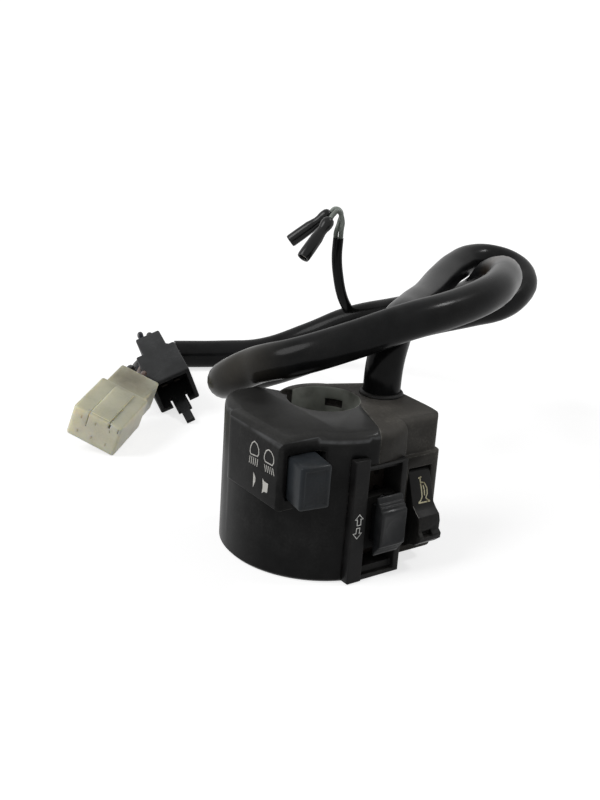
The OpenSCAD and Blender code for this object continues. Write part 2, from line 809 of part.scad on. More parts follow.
module dimmer_fixed_contacts() {
    color("#b8892f") dimmer_fixed() for (side = [-1, 1]) {
        rod_y(side * 4, 0, 0.8, dimmer_plate_y - eps, dimmer_plate_y + dimmer_plate_t + 0.6);
        rod_y(side * 4, 0, 1.3, dimmer_plate_y - 0.6, dimmer_plate_y);
    }
}

module dimmer_detent_ball() {
    color("#d9d9d6") dimmer_place() translate([0, tail_y + 0.8, 0]) sphere(r = ball_r);
}

module dimmer_detent_spring() {
    color("#c9c9c6") dimmer_place() translate([0, 3, 0]) rotate([-90, 0, 0])
        coil(0.75, tail_y + 0.8 - ball_r - 3, 6, 0.2);
}

module dimmer_screws() {
    color("#c9c9c6") for (side = [-1, 1])
        translate([dimmer_x + side * foot_x, dimmer_foot_y, shelf_z - shelf_t]) {
            translate([0, 0, -eps]) cylinder(r = small_r, h = shelf_t + foot_h - 1.4);
            translate([0, 0, -small_head_h]) cylinder(r = small_head_r, h = small_head_h);
        }
}

// Turn switch

module turn_bezel() {
    flange_y = -bezel_y + bezel_flange;
    skin_y = -bezel_y + bezel_skin;
    color("#232426") difference() {
        union() {
            span([-bezel_left, -bezel_y, bezel_z], [bezel_right, flange_y, bezel_top]);
            span([-bezel_left, -ridge_y, bezel_z], [window_left, flange_y, ridge_top]);
            span([spigot_left, flange_y - eps, spigot_z0], [spigot_right, -board_y, spigot_z1]);
        }
        span([window_left, -far, bezel_z + bezel_foot_bar],
            [window_right, skin_y + eps, bezel_top - bezel_top_bar]);
        span([spigot_left + side_wall, skin_y, spigot_z0 + spigot_wall],
            [window_right, -board_y + 1, spigot_z1 - spigot_wall]);
        for (z = turn_screw_z)
            rod_y(turn_screw_x, z, small_r + seat_gap, -board_y - 5, -board_y + 1);
    }
}

module turn_slider() {
    back = -carriage_y + carriage_t;
    color("#161718") translate([0, 0, turn_z]) difference() {
        union() {
            span([carriage_left, -carriage_y, -carriage_half], [carriage_right, back, carriage_half]);
            rod_y(detent_x, 0, detent_boss_r, back - eps, -board_y - 1.1);
        }
        span([turn_x - stem_w / 2 - run_gap, -far, -stem_half - run_gap],
            [turn_x + stem_w / 2 + run_gap, far, stem_half + run_gap]);
        rod_y(detent_x, 0, ball_r + seat_gap, -carriage_y + 0.8, far);
        for (side = [-1, 1])
            rod_y(turn_x, side * cancel_spring_z, cancel_spring_r + 0.25, -far, -carriage_y + 2);
    }
}

module turn_knob() {
    profile = [
        [-turn_shoulder, -shoulder_half], [-turn_shoulder - 0.6, -shoulder_half],
        [-turn_front + 0.2, -pad_half - 0.4], [-turn_front, -pad_half], [-turn_front + 0.5, -2],
        [-turn_front + 0.6, 0], [-turn_front + 0.5, 2], [-turn_front, pad_half],
        [-turn_front + 0.2, pad_half + 0.4], [-turn_shoulder - 0.6, shoulder_half],
        [-turn_shoulder, shoulder_half]
    ];
    color("#3a4149") translate([0, 0, turn_z]) {
        through_x(profile, turn_x - turn_w / 2, turn_x + turn_w / 2);
        span([turn_x - stem_w / 2, -turn_shoulder - eps, -stem_half],
            [turn_x + stem_w / 2, -stem_back + stem_flange, stem_half]);
        span([turn_x - stem_w / 2, -stem_back, -stem_half - 1],
            [turn_x + stem_w / 2, -stem_back + stem_flange, stem_half + 1]);
    }
}

module turn_contact_board() {
    color("#5a3a22") difference() {
        span([board_left, -board_y, spigot_z0], [board_right, -board_y + board_t, spigot_z1]);
        for (z = turn_screw_z)
            rod_y(turn_screw_x, z, small_r + screw_gap, -board_y - 1, -board_y + board_t + 1);
        for (x = turn_contact_x, step = [-1, 0, 1])
            rod_y(x, turn_z + turn_contact_z + step * turn_travel, 0.9 + seat_gap,
                -board_y - 1, -board_y + board_t + 1);
    }
}

module turn_moving_contact() {
    back = -carriage_y + carriage_t;
    half = 0.55;
    color("#b8892f") translate([0, 0, turn_z + turn_contact_z]) {
        span([turn_contact_x[0] - 1, back, -half], [turn_contact_x[1] + 1, back + contact_t, half]);
        for (x = turn_contact_x)
            span([x - 0.6, back, -half], [x + 0.6, -board_y - run_gap, half]);
    }
}

module turn_fixed_contacts() {
    color("#b8892f") for (x = turn_contact_x, step = [-1, 0, 1])
        rod_y(x, turn_z + turn_contact_z + step * turn_travel, 0.9, -board_y, -board_y + board_t + 0.7);
}

module turn_detent_ball() {
    color("#d9d9d6") translate([detent_x, -board_y - run_gap - ball_r, turn_z]) sphere(r = ball_r);
}

module turn_detent_spring() {
    start = -carriage_y + 0.8;
    color("#c9c9c6") translate([detent_x, start, turn_z]) rotate([-90, 0, 0])
        coil(0.75, -board_y - run_gap - 2 * ball_r - start, 5, 0.2);
}

module turn_cancel_springs() {
    start = -carriage_y + 2;
    color("#c9c9c6") for (side = [-1, 1])
        translate([turn_x, start, turn_z + side * cancel_spring_z]) rotate([90, 0, 0])
            coil(cancel_spring_r - 0.15, start + turn_shoulder, 6, 0.15);
}

module turn_screws() {
    color("#c9c9c6") for (z = turn_screw_z)
        small_screw_y(turn_screw_x, z, -board_y + board_t, board_t + 4.5);
}

// Horn

module horn_paddle() {
    y = -barrel_r;
    z = horn_pin_z;
    profile = [
        [y + 4.7, z + 2.2], [y + 2.9, z + 1.8], [y + 1.9, z + 0.8], [y - 1.2, z - 8], [y - 2.6, z - 9.4],
        [y - 4.2, z - 10.6], [y - 4.8, z - 12.6], [y - 4.7, z - 15.2], [y - 5.8, z - 16.2], [y - 5.7, z - 17.8],
        [y - 3.6, z - 19.6], [y - 0.7, z - 20.6], [-horn_back - 0.5, z - 20], [-horn_back, z - 8.6],
        [horn_pin_y + 1, z - 2.6], [horn_pin_y + 1.9, z], [horn_pin_y + 1.4, z + 1.8]
    ];
    color("#1b1c1d") difference() {
        through_x(profile, horn_x - horn_w / 2, horn_x + horn_w / 2);
        rod_x(horn_pin_y, horn_pin_z, horn_pin_r + pin_gap, -far, far);
    }
}

module horn_pivot_pin() {
    color("#c9c9c6") rod_x(horn_pin_y, horn_pin_z, horn_pin_r, cheek_left + 0.3, horn_screw_x + 0.9);
}

module horn_base() {
    color("#5a3a22") difference() {
        span([horn_x - horn_half - 0.6, -cheek_y, horn_plate_z[0]],
            [horn_plate_x, -cheek_y + horn_plate_t, horn_plate_z[1]]);
        for (z = horn_screw_z)
            rod_y(horn_screw_x, z, small_r + screw_gap, -far, far);
        rod_y(horn_contact_x, horn_contact_z, 0.8 + seat_gap, -far, far);
    }
}

module horn_return_spring() {
    start = -cheek_y;
    color("#c9c9c6") translate([horn_spring_x, start, horn_spring_z]) rotate([90, 0, 0])
        coil(1.6, start + horn_back + 0.2, 5, 0.25);
}

module horn_moving_contact() {
    back = -horn_back;
    color("#b8892f") {
        span([horn_contact_x - 1.2, back, horn_contact_z - 1.2],
            [horn_contact_x + 1.2, back + contact_t, horn_contact_z + 5.6]);
        rod_y(horn_contact_x, horn_contact_z, 1, back, -cheek_y - horn_stud - run_gap - horn_reach);
    }
}

module horn_fixed_contact() {
    color("#b8892f") {
        rod_y(horn_contact_x, horn_contact_z, 0.8, -cheek_y - eps, -cheek_y + horn_plate_t + 0.8);
        rod_y(horn_contact_x, horn_contact_z, 1.4, -cheek_y - horn_stud, -cheek_y);
    }
}

module horn_screws() {
    color("#c9c9c6") for (z = horn_screw_z)
        small_screw_y(horn_screw_x, z, -cheek_y + horn_plate_t, horn_plate_t + 4.5);
}

// Cable exit and the wires inside

module cable_grommet() {
    inner = sheath_r + seat_gap / 2;
    outer = sheath_r + grommet_wall;
    color("#1a1a1b") translate([exit_x, exit_y, body_h])
        rotate_extrude() polygon([
            [inner, -wall - grommet_in], [outer, -wall - grommet_in], [outer, 0], [outer + grommet_lip, 0],
            [outer + grommet_lip, grommet_lip], [outer - 0.2, grommet_out], [inner, grommet_out]
        ]);
}

module cable_tie() {
    inner = sheath_r + seat_gap / 2;
    color("#e6e2d6") translate([exit_x, exit_y, tie_z]) difference() {
        union() {
            cylinder(r = sheath_r + tie_t, h = tie_h);
            span([-2, -sheath_r - 3.4, 0], [2, -sheath_r, tie_h]);
        }
        translate([0, 0, -1]) cylinder(r = inner, h = tie_h + 2);
    }
}

wire_lead_z = sheath_start_z - 1.5;

module dimmer_wire() {
    color("#3f6fae") tube([
        [exit_x - 2.2, exit_y - 1, sheath_start_z], [exit_x - 2.2, exit_y - 1, wire_lead_z],
        [exit_x - 4.5, exit_y - 5.5, 31], [12, -12.5, 31], [5, -16.3, 33],
        [-6, -16, 34], [-12, -11.5, 34], [-13.8, -7, 34], [-14, -3, 33.6], [-16, -0.6, 33.2],
        [dimmer_x + 4, dimmer_stud_y + 2.4, dimmer_z], [dimmer_x + 4, dimmer_stud_y, dimmer_z]
    ], inner_wire_r, 8);
}

module turn_wire() {
    color("#8a8f3a") tube([
        [exit_x - 0.2, exit_y - 2.6, sheath_start_z], [exit_x - 0.2, exit_y - 2.6, wire_lead_z],
        [exit_x - 2.4, exit_y - 7.5, 29], [12, -15, 26],
        [turn_contact_x[1] + 1.6, -17.6, turn_z + turn_contact_z],
        [turn_contact_x[1], -board_y + board_t + 1.5, turn_z + turn_contact_z]
    ], inner_wire_r, 8);
}

module horn_wire() {
    color("#7a4a2a") tube([
        [exit_x + 2, exit_y - 2, sheath_start_z], [exit_x + 2, exit_y - 2, wire_lead_z],
        [exit_x + 1.4, exit_y - 6, 27], [horn_contact_x + 0.4, -13.5, 19],
        [horn_contact_x, -cheek_y + horn_plate_t + 1.6, horn_contact_z + 0.6]
    ], inner_wire_r, 8);
}

// Harness

module harness_sheath() {
    color("#17181a") hose(harness_route, sheath_r, sheath_r - sheath_wall, 12);
}

module branch_sheath() {
    color("#1c1d1f") tube(branch_route, branch_d / 2, 8);
}

module branch_wires() {
    color("#77807a") {
        tube(front_wire_route, wire_d / 2, 8);
        tube(rear_wire_route, wire_d / 2, 8);
    }
}

// Puts its children's Z axis along the line from one point to another
module along_line(line) {
    d = line[1] - line[0];
    translate(line[0]) rotate([0, acos(d[2] / norm(d)), atan2(d[1], d[0])]) children();
}

module bullet_terminals() {
    color("#c9b36a") for (line = [front_bullet, rear_bullet])
        along_line(line) translate([0, 0, norm(line[1] - line[0]) - bullet_pin_l - 1])
            cylinder(r = bullet_pin_r, h = bullet_pin_l);
}

module bullet_sleeves() {
    color("#141415") for (line = [front_bullet, rear_bullet]) {
        length = norm(line[1] - line[0]);
        along_line(line) rotate_extrude() polygon([
            [0, 0], [bullet_r - 0.9, 0], [bullet_r - 0.4, 3], [bullet_r, 4.5], [bullet_r, length],
            [bullet_pin_r + seat_gap, length], [bullet_pin_r + seat_gap, length - bullet_pin_l - 1],
            [0, length - bullet_pin_l - 1]
        ]);
    }
}

// Connectors, drawn with the mating end at y = 0 and the wires leaving towards +Y

module white_place() {
    translate([white_at[0], white_at[1], white_lift]) rotate(white_turn) children();
}

module black_place() {
    translate([black_at[0], black_at[1], black_lift]) rotate(black_turn) children();
}

module white_connector() {
    half = white_w / 2;
    color("#e9e4cf") white_place() difference() {
        union() {
            span([-half, 0, 0], [half, white_step, white_t]);
            span([-half + shell, white_step - eps, 0], [half - shell, white_l, white_t - shell / 2]);
            span([latch_x - latch_w / 2, 0.6, white_t - eps],
                [latch_x + latch_w / 2, white_step - 1, white_t + latch_h]);
        }
        for (x = white_columns, z = white_rows) {
            span([x - slit_w / 2, -1, z - slit_h / 2], [x + slit_w / 2, shell + 1, z + slit_h / 2]);
            span([x - white_cell / 2, shell, z - white_cell / 2], [x + white_cell / 2, 10, z + white_cell / 2]);
            span([x - white_cell / 2, white_l - 8, z - white_cell / 2],
                [x + white_cell / 2, white_l + 1, z + white_cell / 2]);
            span([x - tab_w / 2 - seat_gap, 9, z - tab_t / 2 - seat_gap],
                [x + tab_w / 2 + seat_gap, white_l - 7, z + tab_t / 2 + seat_gap]);
        }
    }
}

module white_terminals() {
    color("#c9b36a") white_place() for (x = white_columns, z = white_rows)
        span([x - tab_w / 2, shell + 1, z - tab_t / 2], [x + tab_w / 2, white_l - 3, z + tab_t / 2]);
}

module black_connector() {
    half = black_w / 2;
    low = tongue_x - tongue_w / 2;
    high = tongue_x + tongue_w / 2;
    color("#26272a") black_place() {
        difference() {
            union() {
                span([-half, 0, 0], [half, black_step, black_t]);
                span([-black_rear, black_step - eps, 2 * shell], [black_rear, black_l, black_t]);
            }
            span([-half + shell, -1, shell], [half - shell, socket_depth, black_t - shell]);
            span([low - notch_gap, -1, -1], [high + notch_gap, tongue_l, shell + 1]);
            for (x = black_columns) {
                span([x - tab_w / 2 - seat_gap, socket_depth - 1, black_t / 2 - tab_t / 2 - seat_gap],
                    [x + tab_w / 2 + seat_gap, black_l + 1, black_t / 2 + tab_t / 2 + seat_gap]);
                span([x - black_cell / 2, black_l - 6, black_t / 2 - black_cell / 2],
                    [x + black_cell / 2, black_l + 1, black_t / 2 + black_cell / 2]);
            }
        }
        span([low, -tongue_l, tongue_low], [high, tongue_l + 1, shell]);
        span([tongue_x - finger_w / 2, -finger_l, tongue_low],
            [tongue_x + finger_w / 2, -tongue_l + eps, shell]);
    }
}

module black_terminals() {
    color("#c9b36a") black_place() for (x = black_columns)
        span([x - tab_w / 2, 6, black_t / 2 - tab_t / 2],
            [x + tab_w / 2, black_l - 3, black_t / 2 + tab_t / 2]);
}

// The level direction to the right of a run
function right_of(way) = unit([way[1], -way[0], 0]);

// A wire's points: out of the sheath, along the bundle, and straight into a connector's cell
function wire_path(middle, across, up, place, turn, cell, length) = let (
    entry = place + turned([cell[0], length + wire_lead, cell[1]], turn),
    end = place + turned([cell[0], length - wire_in, cell[1]], turn),
    run = concat([sheath_end, sheath_end + 3 * sheath_way], middle, [entry]),
    ways = tangents(run))
    concat([for (i = [0 : len(run) - 2]) run[i] + across * right_of(ways[i]) + [0, 0, up]], [entry, end]);

module white_wires() {
    colors = ["#7a8fae", "#5f7f5a", "#3b3b3d", "#8a5a3a"];
    for (i = [0 : 3]) {
        w = white_wire_cells[i];
        color(colors[i]) tube(wire_path(white_wire_route, w[2], w[3], [white_at[0], white_at[1], white_lift],
            white_turn, [w[0], w[1]], white_l), wire_d / 2, 8);
    }
}

module black_wires() {
    colors = ["#2c4f8a", "#3b3b3d"];
    for (i = [0 : 1]) {
        w = black_wire_cells[i];
        color(colors[i]) tube(wire_path(black_wire_route, w[1], w[2], [black_at[0], black_at[1], black_lift],
            black_turn, [w[0], black_t / 2], black_l), wire_d / 2, 8);
    }
}

upper_housing();
lower_housing();
housing_screws();
dimmer_knob();
dimmer_rocker();
dimmer_pivot_pin();
dimmer_base();
dimmer_moving_contact();
dimmer_fixed_contacts();
dimmer_detent_ball();
dimmer_detent_spring();
dimmer_screws();
turn_bezel();
turn_slider();
turn_knob();
turn_contact_board();
turn_moving_contact();
turn_fixed_contacts();
turn_detent_ball();
turn_detent_spring();
turn_cancel_springs();
turn_screws();
horn_paddle();
horn_pivot_pin();
horn_base();
horn_return_spring();
horn_moving_contact();
horn_fixed_contact();
horn_screws();
cable_grommet();
cable_tie();
dimmer_wire();
turn_wire();
horn_wire();
harness_sheath();
branch_sheath();
branch_wires();
bullet_terminals();
bullet_sleeves();
white_connector();
white_terminals();
white_wires();
black_connector();
black_terminals();
black_wires();
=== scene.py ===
# %% [markdown]
# # A handlebar switch cluster, dressed over its CAD frame
#
# The CAD model is loaded as a fixed frame: every node is already in its place, in metres, with the bar's
# axis along Z and the switches facing -Y. This lesson gives each visible piece its real form and finish.

# %% Load the frame
import bpy
from math import cos, pi, radians, sin
from mathutils import Euler, Matrix, Vector


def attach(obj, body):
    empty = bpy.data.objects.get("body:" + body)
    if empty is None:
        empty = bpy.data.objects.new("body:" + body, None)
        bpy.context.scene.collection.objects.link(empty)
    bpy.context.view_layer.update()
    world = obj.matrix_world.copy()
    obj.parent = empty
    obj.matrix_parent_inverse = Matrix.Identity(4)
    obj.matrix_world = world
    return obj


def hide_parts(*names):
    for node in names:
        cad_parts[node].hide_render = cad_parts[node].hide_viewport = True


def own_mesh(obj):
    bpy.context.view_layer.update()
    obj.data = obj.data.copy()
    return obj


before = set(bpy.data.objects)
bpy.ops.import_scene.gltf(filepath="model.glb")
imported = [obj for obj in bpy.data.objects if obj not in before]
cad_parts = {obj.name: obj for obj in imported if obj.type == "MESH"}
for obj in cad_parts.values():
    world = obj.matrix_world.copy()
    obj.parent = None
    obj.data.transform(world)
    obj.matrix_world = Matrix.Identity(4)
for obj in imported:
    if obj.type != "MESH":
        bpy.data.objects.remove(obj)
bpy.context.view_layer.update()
MM = 0.001

# %% [markdown]
# ## The camera
#
# The camera stands where the photograph's camera stood, in front and to the left of the cluster and a
# little above it. It leans by a few degrees, so its matrix is built from the three directions
# themselves: right, up and back.

# %% Camera
def new_object(name, data):
    """Puts an object with its data in the scene."""
    piece = bpy.data.objects.new(name, data)
    bpy.context.scene.collection.objects.link(piece)
    return piece


camera_at = Vector((-0.2045, -0.2677, 0.1672))
camera_aim = Vector((-0.0055, 0.0043, 0.0449))
camera_lean = radians(3.95)
forward = (camera_aim - camera_at).normalized()
level = forward.cross(Vector((0, 0, 1))).normalized()
right = level * cos(camera_lean) + level.cross(forward) * sin(camera_lean)
up = right.cross(forward)
camera_data = bpy.data.cameras.new("camera")
camera_data.lens = 53.96
camera_data.sensor_width = 36
camera = new_object("camera", camera_data)
camera.matrix_world = Matrix.Translation(camera_at) @ Matrix((right, up, -forward)).transposed().to_4x4()
bpy.context.scene.camera = camera
bpy.context.scene.view_settings.view_transform = "Standard"
print("camera", [round(c, 3) for c in camera_at])

# %% [markdown]
# ## The harness
#
# The harness is one smooth PVC sheath. It leaves the lower housing upwards, loops once beside the cluster
# and comes down to the floor behind it. A Bezier curve with automatic handles goes through each point of
# the route, and its bevel gives it the sheath's thickness, so it bends as a cable does. The route is the
# CAD model's own, in millimetres.

# %% Curves for the harness
sheath_d = 11.6
cable_exit = (19.5, -3.2)
harness_route = [
    (*cable_exit, 34), (*cable_exit, 47.5), (20.5, -2.5, 55), (25, 1, 60.5), (33, 8, 63), (51, 23, 62),
    (73, 40, 60), (96, 57.5, 60.5), (110, 66, 61.5), (121, 69.5, 62.5), (129.5, 67, 62.3),
    (133.5, 59.5, 60.7), (131, 51, 58), (123, 45, 55), (112, 42.5, 52), (100, 44, 50.5), (83, 48, 48),
    (60, 49, 45.5), (38, 48, 42.5), (19, 47.5, 39.5), (3, 46, 38.5), (-7, 41.5, 39.5), (-13, 34, 43),
    (-14, 26.5, 47.5), (-12, 20, 51.7), (-11, 13, 55), (-7, 5, 58.5), (6, -3, 64), (22, -7.5, 69),
    (41, -8, 71.5), (60, -3, 73), (76, 7.5, 72.5), (90, 20, 70.8), (102, 34.5, 67.5), (110, 48, 62),
    (115.5, 58.5, 54), (118.5, 71, 46.5), (118.5, 86, 40), (115, 105, 32.5), (106, 126, 23.5),
    (95, 138, 14.5), (77, 147, 7), (61, 153.5, 6), (41, 161.5, 6),
]
branch_d = 4.4
branch_route = [(104, 124, 29.5), (99, 122, 36), (95, 120.5, 45), (93, 120, 54), (93, 120, 62)]


def route_length(points):
    """Length in metres of a route in millimetres."""
    return sum((Vector(b) - Vector(a)).length for a, b in zip(points, points[1:])) * MM


def round_curve(name, kind, diameter, roundness):
    """A curve with a round bevel and closed ends; gives its object and its one empty spline."""
    curve = bpy.data.curves.new(name, "CURVE")
    curve.dimensions = "3D"
    curve.resolution_u = 6
    curve.bevel_depth = diameter / 2 * MM
    curve.bevel_resolution = roundness
    curve.use_fill_caps = True
    return new_object(name, curve), curve.splines.new(kind)


def cord_curve(name, points, diameter, lying=0):
    """A round cord along a route in millimetres. Below the height lying, it runs level."""
    cord, spline = round_curve(name, "BEZIER", diameter, 8)
    spline.bezier_points.add(len(points) - 1)
    for knot, point in zip(spline.bezier_points, points):
        knot.co = Vector(point) * MM
        knot.handle_left_type = "AUTO"
        knot.handle_right_type = "AUTO"
    for knot in spline.bezier_points:
        if knot.co.z <= lying * MM:
            knot.handle_left_type = "FREE"
            knot.handle_right_type = "FREE"
            knot.handle_left.z = knot.co.z
            knot.handle_right.z = knot.co.z
    print(name, "length", round(route_length(points), 4), "m")
    return cord


harness = cord_curve("harness", harness_route, sheath_d, lying=6)
branch = cord_curve("branch_sleeve", branch_route, branch_d)

# %% [markdown]
# ## The wires at the harness's end
#
# Four wires run from the sheath's end to the white connector and two to the black one. Each connector lies
# tipped on the floor, so its place is a matrix: its mating end is drawn at y = 0, its wires leave towards
# +Y, and the matrix turns and lifts it. The same matrix places the wires' ends in the connector's cells.

# %% Wires
wire_d = 2
wire_lead = 4
sheath_lead = 3
wire_in = 2.8
white_w, white_l, white_t = 19, 36, 13
white_cells_x, white_cells_z = (-5.6, 0, 5.6), (3.4, 9.6)
black_w, black_l, black_t = 16.2, 31.5, 15.2
black_cells_x = (-2.6, 2.6)


def tipped(at, turn, width):
    """Matrix in millimetres of a connector that lies on one edge of its width."""
    angles = [radians(a) for a in turn]
    lift = width / 2 * sin(abs(angles[1]))
    return Matrix.Translation((*at, lift)) @ Euler(angles, "XYZ").to_matrix().to_4x4()


white_place = tipped((-33, 90.7), (10, 20, -49), white_w)
black_place = tipped((16.1, 111.6), (15, -23.4, -17.4), black_w)
sheath_end = Vector(harness_route[-1])
sheath_way = (sheath_end - Vector(harness_route[-2])).normalized()
white_bundle = [(31, 162, 6), (22, 155.5, 6), (14, 145, 7), (7, 133.5, 9), (2, 122.5, 12.5)]
black_bundle = [(32, 163.5, 8.5), (25.5, 159.5, 12.5), (21.5, 152, 16.5)]


def wire_route(bundle, across, lift, place, cell, length):
    """Out of the sheath, along the bundle, and straight into a connector's cell."""
    entry, end = (place @ Vector((cell[0], y, cell[1])) for y in (length + wire_lead, length - wire_in))
    run = [sheath_end, sheath_end + sheath_way * sheath_lead, *(Vector(p) for p in bundle), entry]
    points = []
    for index, point in enumerate(run[:-1]):
        way = run[index + 1] - run[max(index - 1, 0)]
        side = Vector((way.y, -way.x, 0)).normalized()
        points.append(point + side * across + Vector((0, 0, lift)))
    return points + [entry, end]


white_routes = [
    wire_route(white_bundle, across, lift, white_place, (x, z), white_l)
    for z, lift in zip(white_cells_z, (-1.6, 0.8))
    for x, across in zip(white_cells_x, (1.4, -1.4))
]
black_lift = 3.2
black_routes = [
    wire_route(black_bundle, across, black_lift, black_place, (x, black_t / 2), black_l)
    for x, across in zip(black_cells_x, (1.9, -1.9))
]
white_wires = [cord_curve(f"white_wire_{i + 1}", r, wire_d) for i, r in enumerate(white_routes)]
black_wires = [cord_curve(f"black_wire_{i + 1}", r, wire_d) for i, r in enumerate(black_routes)]

# %% [markdown]
# ## Floor and light
#
# The photograph is a cut-out on white. The floor is a plain grey that takes the object's shadow, and to the
# camera and to reflections it also glows a little, so that where it is lit it comes out white. The world
# does the same. The light itself is one wide sun from the upper left, which leaves the front of the
# cluster in shade, and a weak small one from the upper right that draws the rims and the cable's sheen.

# %% Floor, world and suns
def deselect_all():
    """Object mode with nothing selected."""
    if bpy.context.object and bpy.context.object.mode != "OBJECT":
        bpy.ops.object.mode_set(mode="OBJECT")
    bpy.ops.object.select_all(action="DESELECT")


def new_material(name, values):
    """A material with uniform values on its shader; gives it, its node tree and its shader."""
    material = bpy.data.materials.new(name)
    material.use_nodes = True
    shader = material.node_tree.nodes["Principled BSDF"]
    for socket, value in values.items():
        shader.inputs[socket].default_value = value
    return material, material.node_tree, shader


def feed(tree, socket, value):
    """Sets a socket to a number or a colour, or links another socket to it."""
    if isinstance(value, tuple):
        socket.default_value = (*value, 1)
    elif isinstance(value, (int, float)):
        socket.default_value = value
    else:
        tree.links.new(value, socket)


def math_node(tree, operation, a, b, clamp=False):
    """A Math node on two sockets or numbers; gives its output."""
    node = tree.nodes.new("ShaderNodeMath")
    node.operation = operation
    node.use_clamp = clamp
    feed(tree, node.inputs[0], a)
    feed(tree, node.inputs[1], b)
    return node.outputs[0]


def seen_rays(tree):
    """1 for rays from the camera, a reflection or glass, and 0 for rays that only bring light."""
    rays = tree.nodes.new("ShaderNodeLightPath")
    seen = math_node(tree, "MAXIMUM", rays.outputs["Is Camera Ray"], rays.outputs["Is Glossy Ray"])
    return math_node(tree, "MAXIMUM", seen, rays.outputs["Is Transmission Ray"])


deselect_all()
floor_size = 80
bpy.ops.mesh.primitive_plane_add(size=floor_size)
floor = bpy.context.object
floor.name = "floor"
floor_grey = 0.42
floor_paint, floor_tree, floor_shader = new_material("floor_paint", {
    "Base Color": (floor_grey, floor_grey, floor_grey, 1), "Roughness": 0.9, "Specular IOR Level": 0.0})
floor_glow_strength = 0.72
floor_glow = floor_tree.nodes.new("ShaderNodeEmission")
floor_sum = floor_tree.nodes.new("ShaderNodeAddShader")
floor_level = math_node(floor_tree, "MULTIPLY", seen_rays(floor_tree), floor_glow_strength)
floor_tree.links.new(floor_level, floor_glow.inputs["Strength"])
floor_tree.links.new(floor_shader.outputs["BSDF"], floor_sum.inputs[0])
floor_tree.links.new(floor_glow.outputs["Emission"], floor_sum.inputs[1])
floor_tree.links.new(floor_sum.outputs["Shader"], floor_tree.nodes["Material Output"].inputs["Surface"])
floor.data.materials.append(floor_paint)

world = bpy.data.worlds.new("studio")
bpy.context.scene.world = world
world.use_nodes = True
world_tree = world.node_tree
background = world_tree.nodes["Background"]
world_light = 0.3
world_level = math_node(world_tree, "MULTIPLY", seen_rays(world_tree), 1 - world_light)
world_tree.links.new(math_node(world_tree, "ADD", world_level, world_light), background.inputs["Strength"])
background.inputs["Color"].default_value = (1, 1, 1, 1)


def add_sun(name, direction, energy, angle):
    """A sun that shines along a direction, with a disc of an angle in degrees."""
    data = bpy.data.lights.new(name, "SUN")
    data.energy = energy
    data.angle = radians(angle)
    lamp = new_object(name, data)
    lamp.rotation_euler = Vector(direction).to_track_quat("-Z", "Y").to_euler()


add_sun("wide_sun", (0.72, -0.16, -0.68), 2.0, 36)
add_sun("rim_sun", (-0.55, 0.26, -0.79), 0.8, 10)
print("floor, world and suns")

# %% [markdown]
# ## Shared effects for the finishes
#
# The same three things age every plastic piece here: a fine moulded grain, dust that gathers in patches
# and on upward faces, and edges rubbed pale. Each is a node group with named inputs, built once. Worn
# edges come from the Bevel node: where its rounded normal differs from the face's own, there is an edge.
# Two more groups mark a finish in one place: a stain in a spot around a point, and painted light, pale
# patches on the bore's wall of both housings that brighten the deep bore where the lamps barely reach.

# %% Node groups
def shader_group(name, inputs, outputs):
    """An empty node group with float inputs {name: default} and float outputs."""
    group = bpy.data.node_groups.new(name, "ShaderNodeTree")
    for socket, value in inputs.items():
        entry = group.interface.new_socket(name=socket, in_out="INPUT", socket_type="NodeSocketFloat")
        entry.default_value = value
    for socket in outputs:
        group.interface.new_socket(name=socket, in_out="OUTPUT", socket_type="NodeSocketFloat")
    group_in = group.nodes.new("NodeGroupInput")
    group_out = group.nodes.new("NodeGroupOutput")
    return group, group_in, group_out


def object_place(tree):
    """The Object coordinates."""
    return tree.nodes.new("ShaderNodeTexCoord").outputs["Object"]


def face_normal(tree):
    """The surface's own normal."""
    return tree.nodes.new("ShaderNodeNewGeometry").outputs["Normal"]


def upward(tree):
    """How far the surface faces up, from -1 to 1."""
    split = tree.nodes.new("ShaderNodeSeparateXYZ")
    tree.links.new(face_normal(tree), split.inputs["Vector"])
    return split.outputs["Z"]


def rounded_normal(tree, radius):
    """The normal of edges that are rounded by a radius in metres."""
    node = tree.nodes.new("ShaderNodeBevel")
    node.samples = 6
    feed(tree, node.inputs["Radius"], radius)
    return node.outputs["Normal"]


def vector_node(tree, operation, *sources):
    """A Vector Math node on sockets."""
    node = tree.nodes.new("ShaderNodeVectorMath")
    node.operation = operation
    for socket, source in zip(node.inputs, sources):
        tree.links.new(source, socket)
    return node


def noise_node(tree, scale, detail, roughness=0.55):
    """A Noise texture on Object coordinates; gives its value."""
    noise = tree.nodes.new("ShaderNodeTexNoise")
    noise.inputs["Detail"].default_value = detail
    noise.inputs["Roughness"].default_value = roughness
    feed(tree, noise.inputs["Scale"], scale)
    tree.links.new(object_place(tree), noise.inputs["Vector"])
    return noise.outputs["Fac"]


def steps_node(tree, value, low, high):
    """A smooth step from 0 at low to 1 at high."""
    node = tree.nodes.new("ShaderNodeMapRange")
    node.interpolation_type = "SMOOTHSTEP"
    for socket, source in (("Value", value), ("From Min", low), ("From Max", high)):
        feed(tree, node.inputs[socket], source)
    return node.outputs["Result"]


grain_group, grain_in, grain_out = shader_group("moulded_grain", {"Scale": 2500.0}, ("Height", "Tone"))
grain_group.links.new(noise_node(grain_group, grain_in.outputs["Scale"], 3), grain_out.inputs["Height"])
grain_group.links.new(noise_node(grain_group, 90.0, 5, 0.6), grain_out.inputs["Tone"])

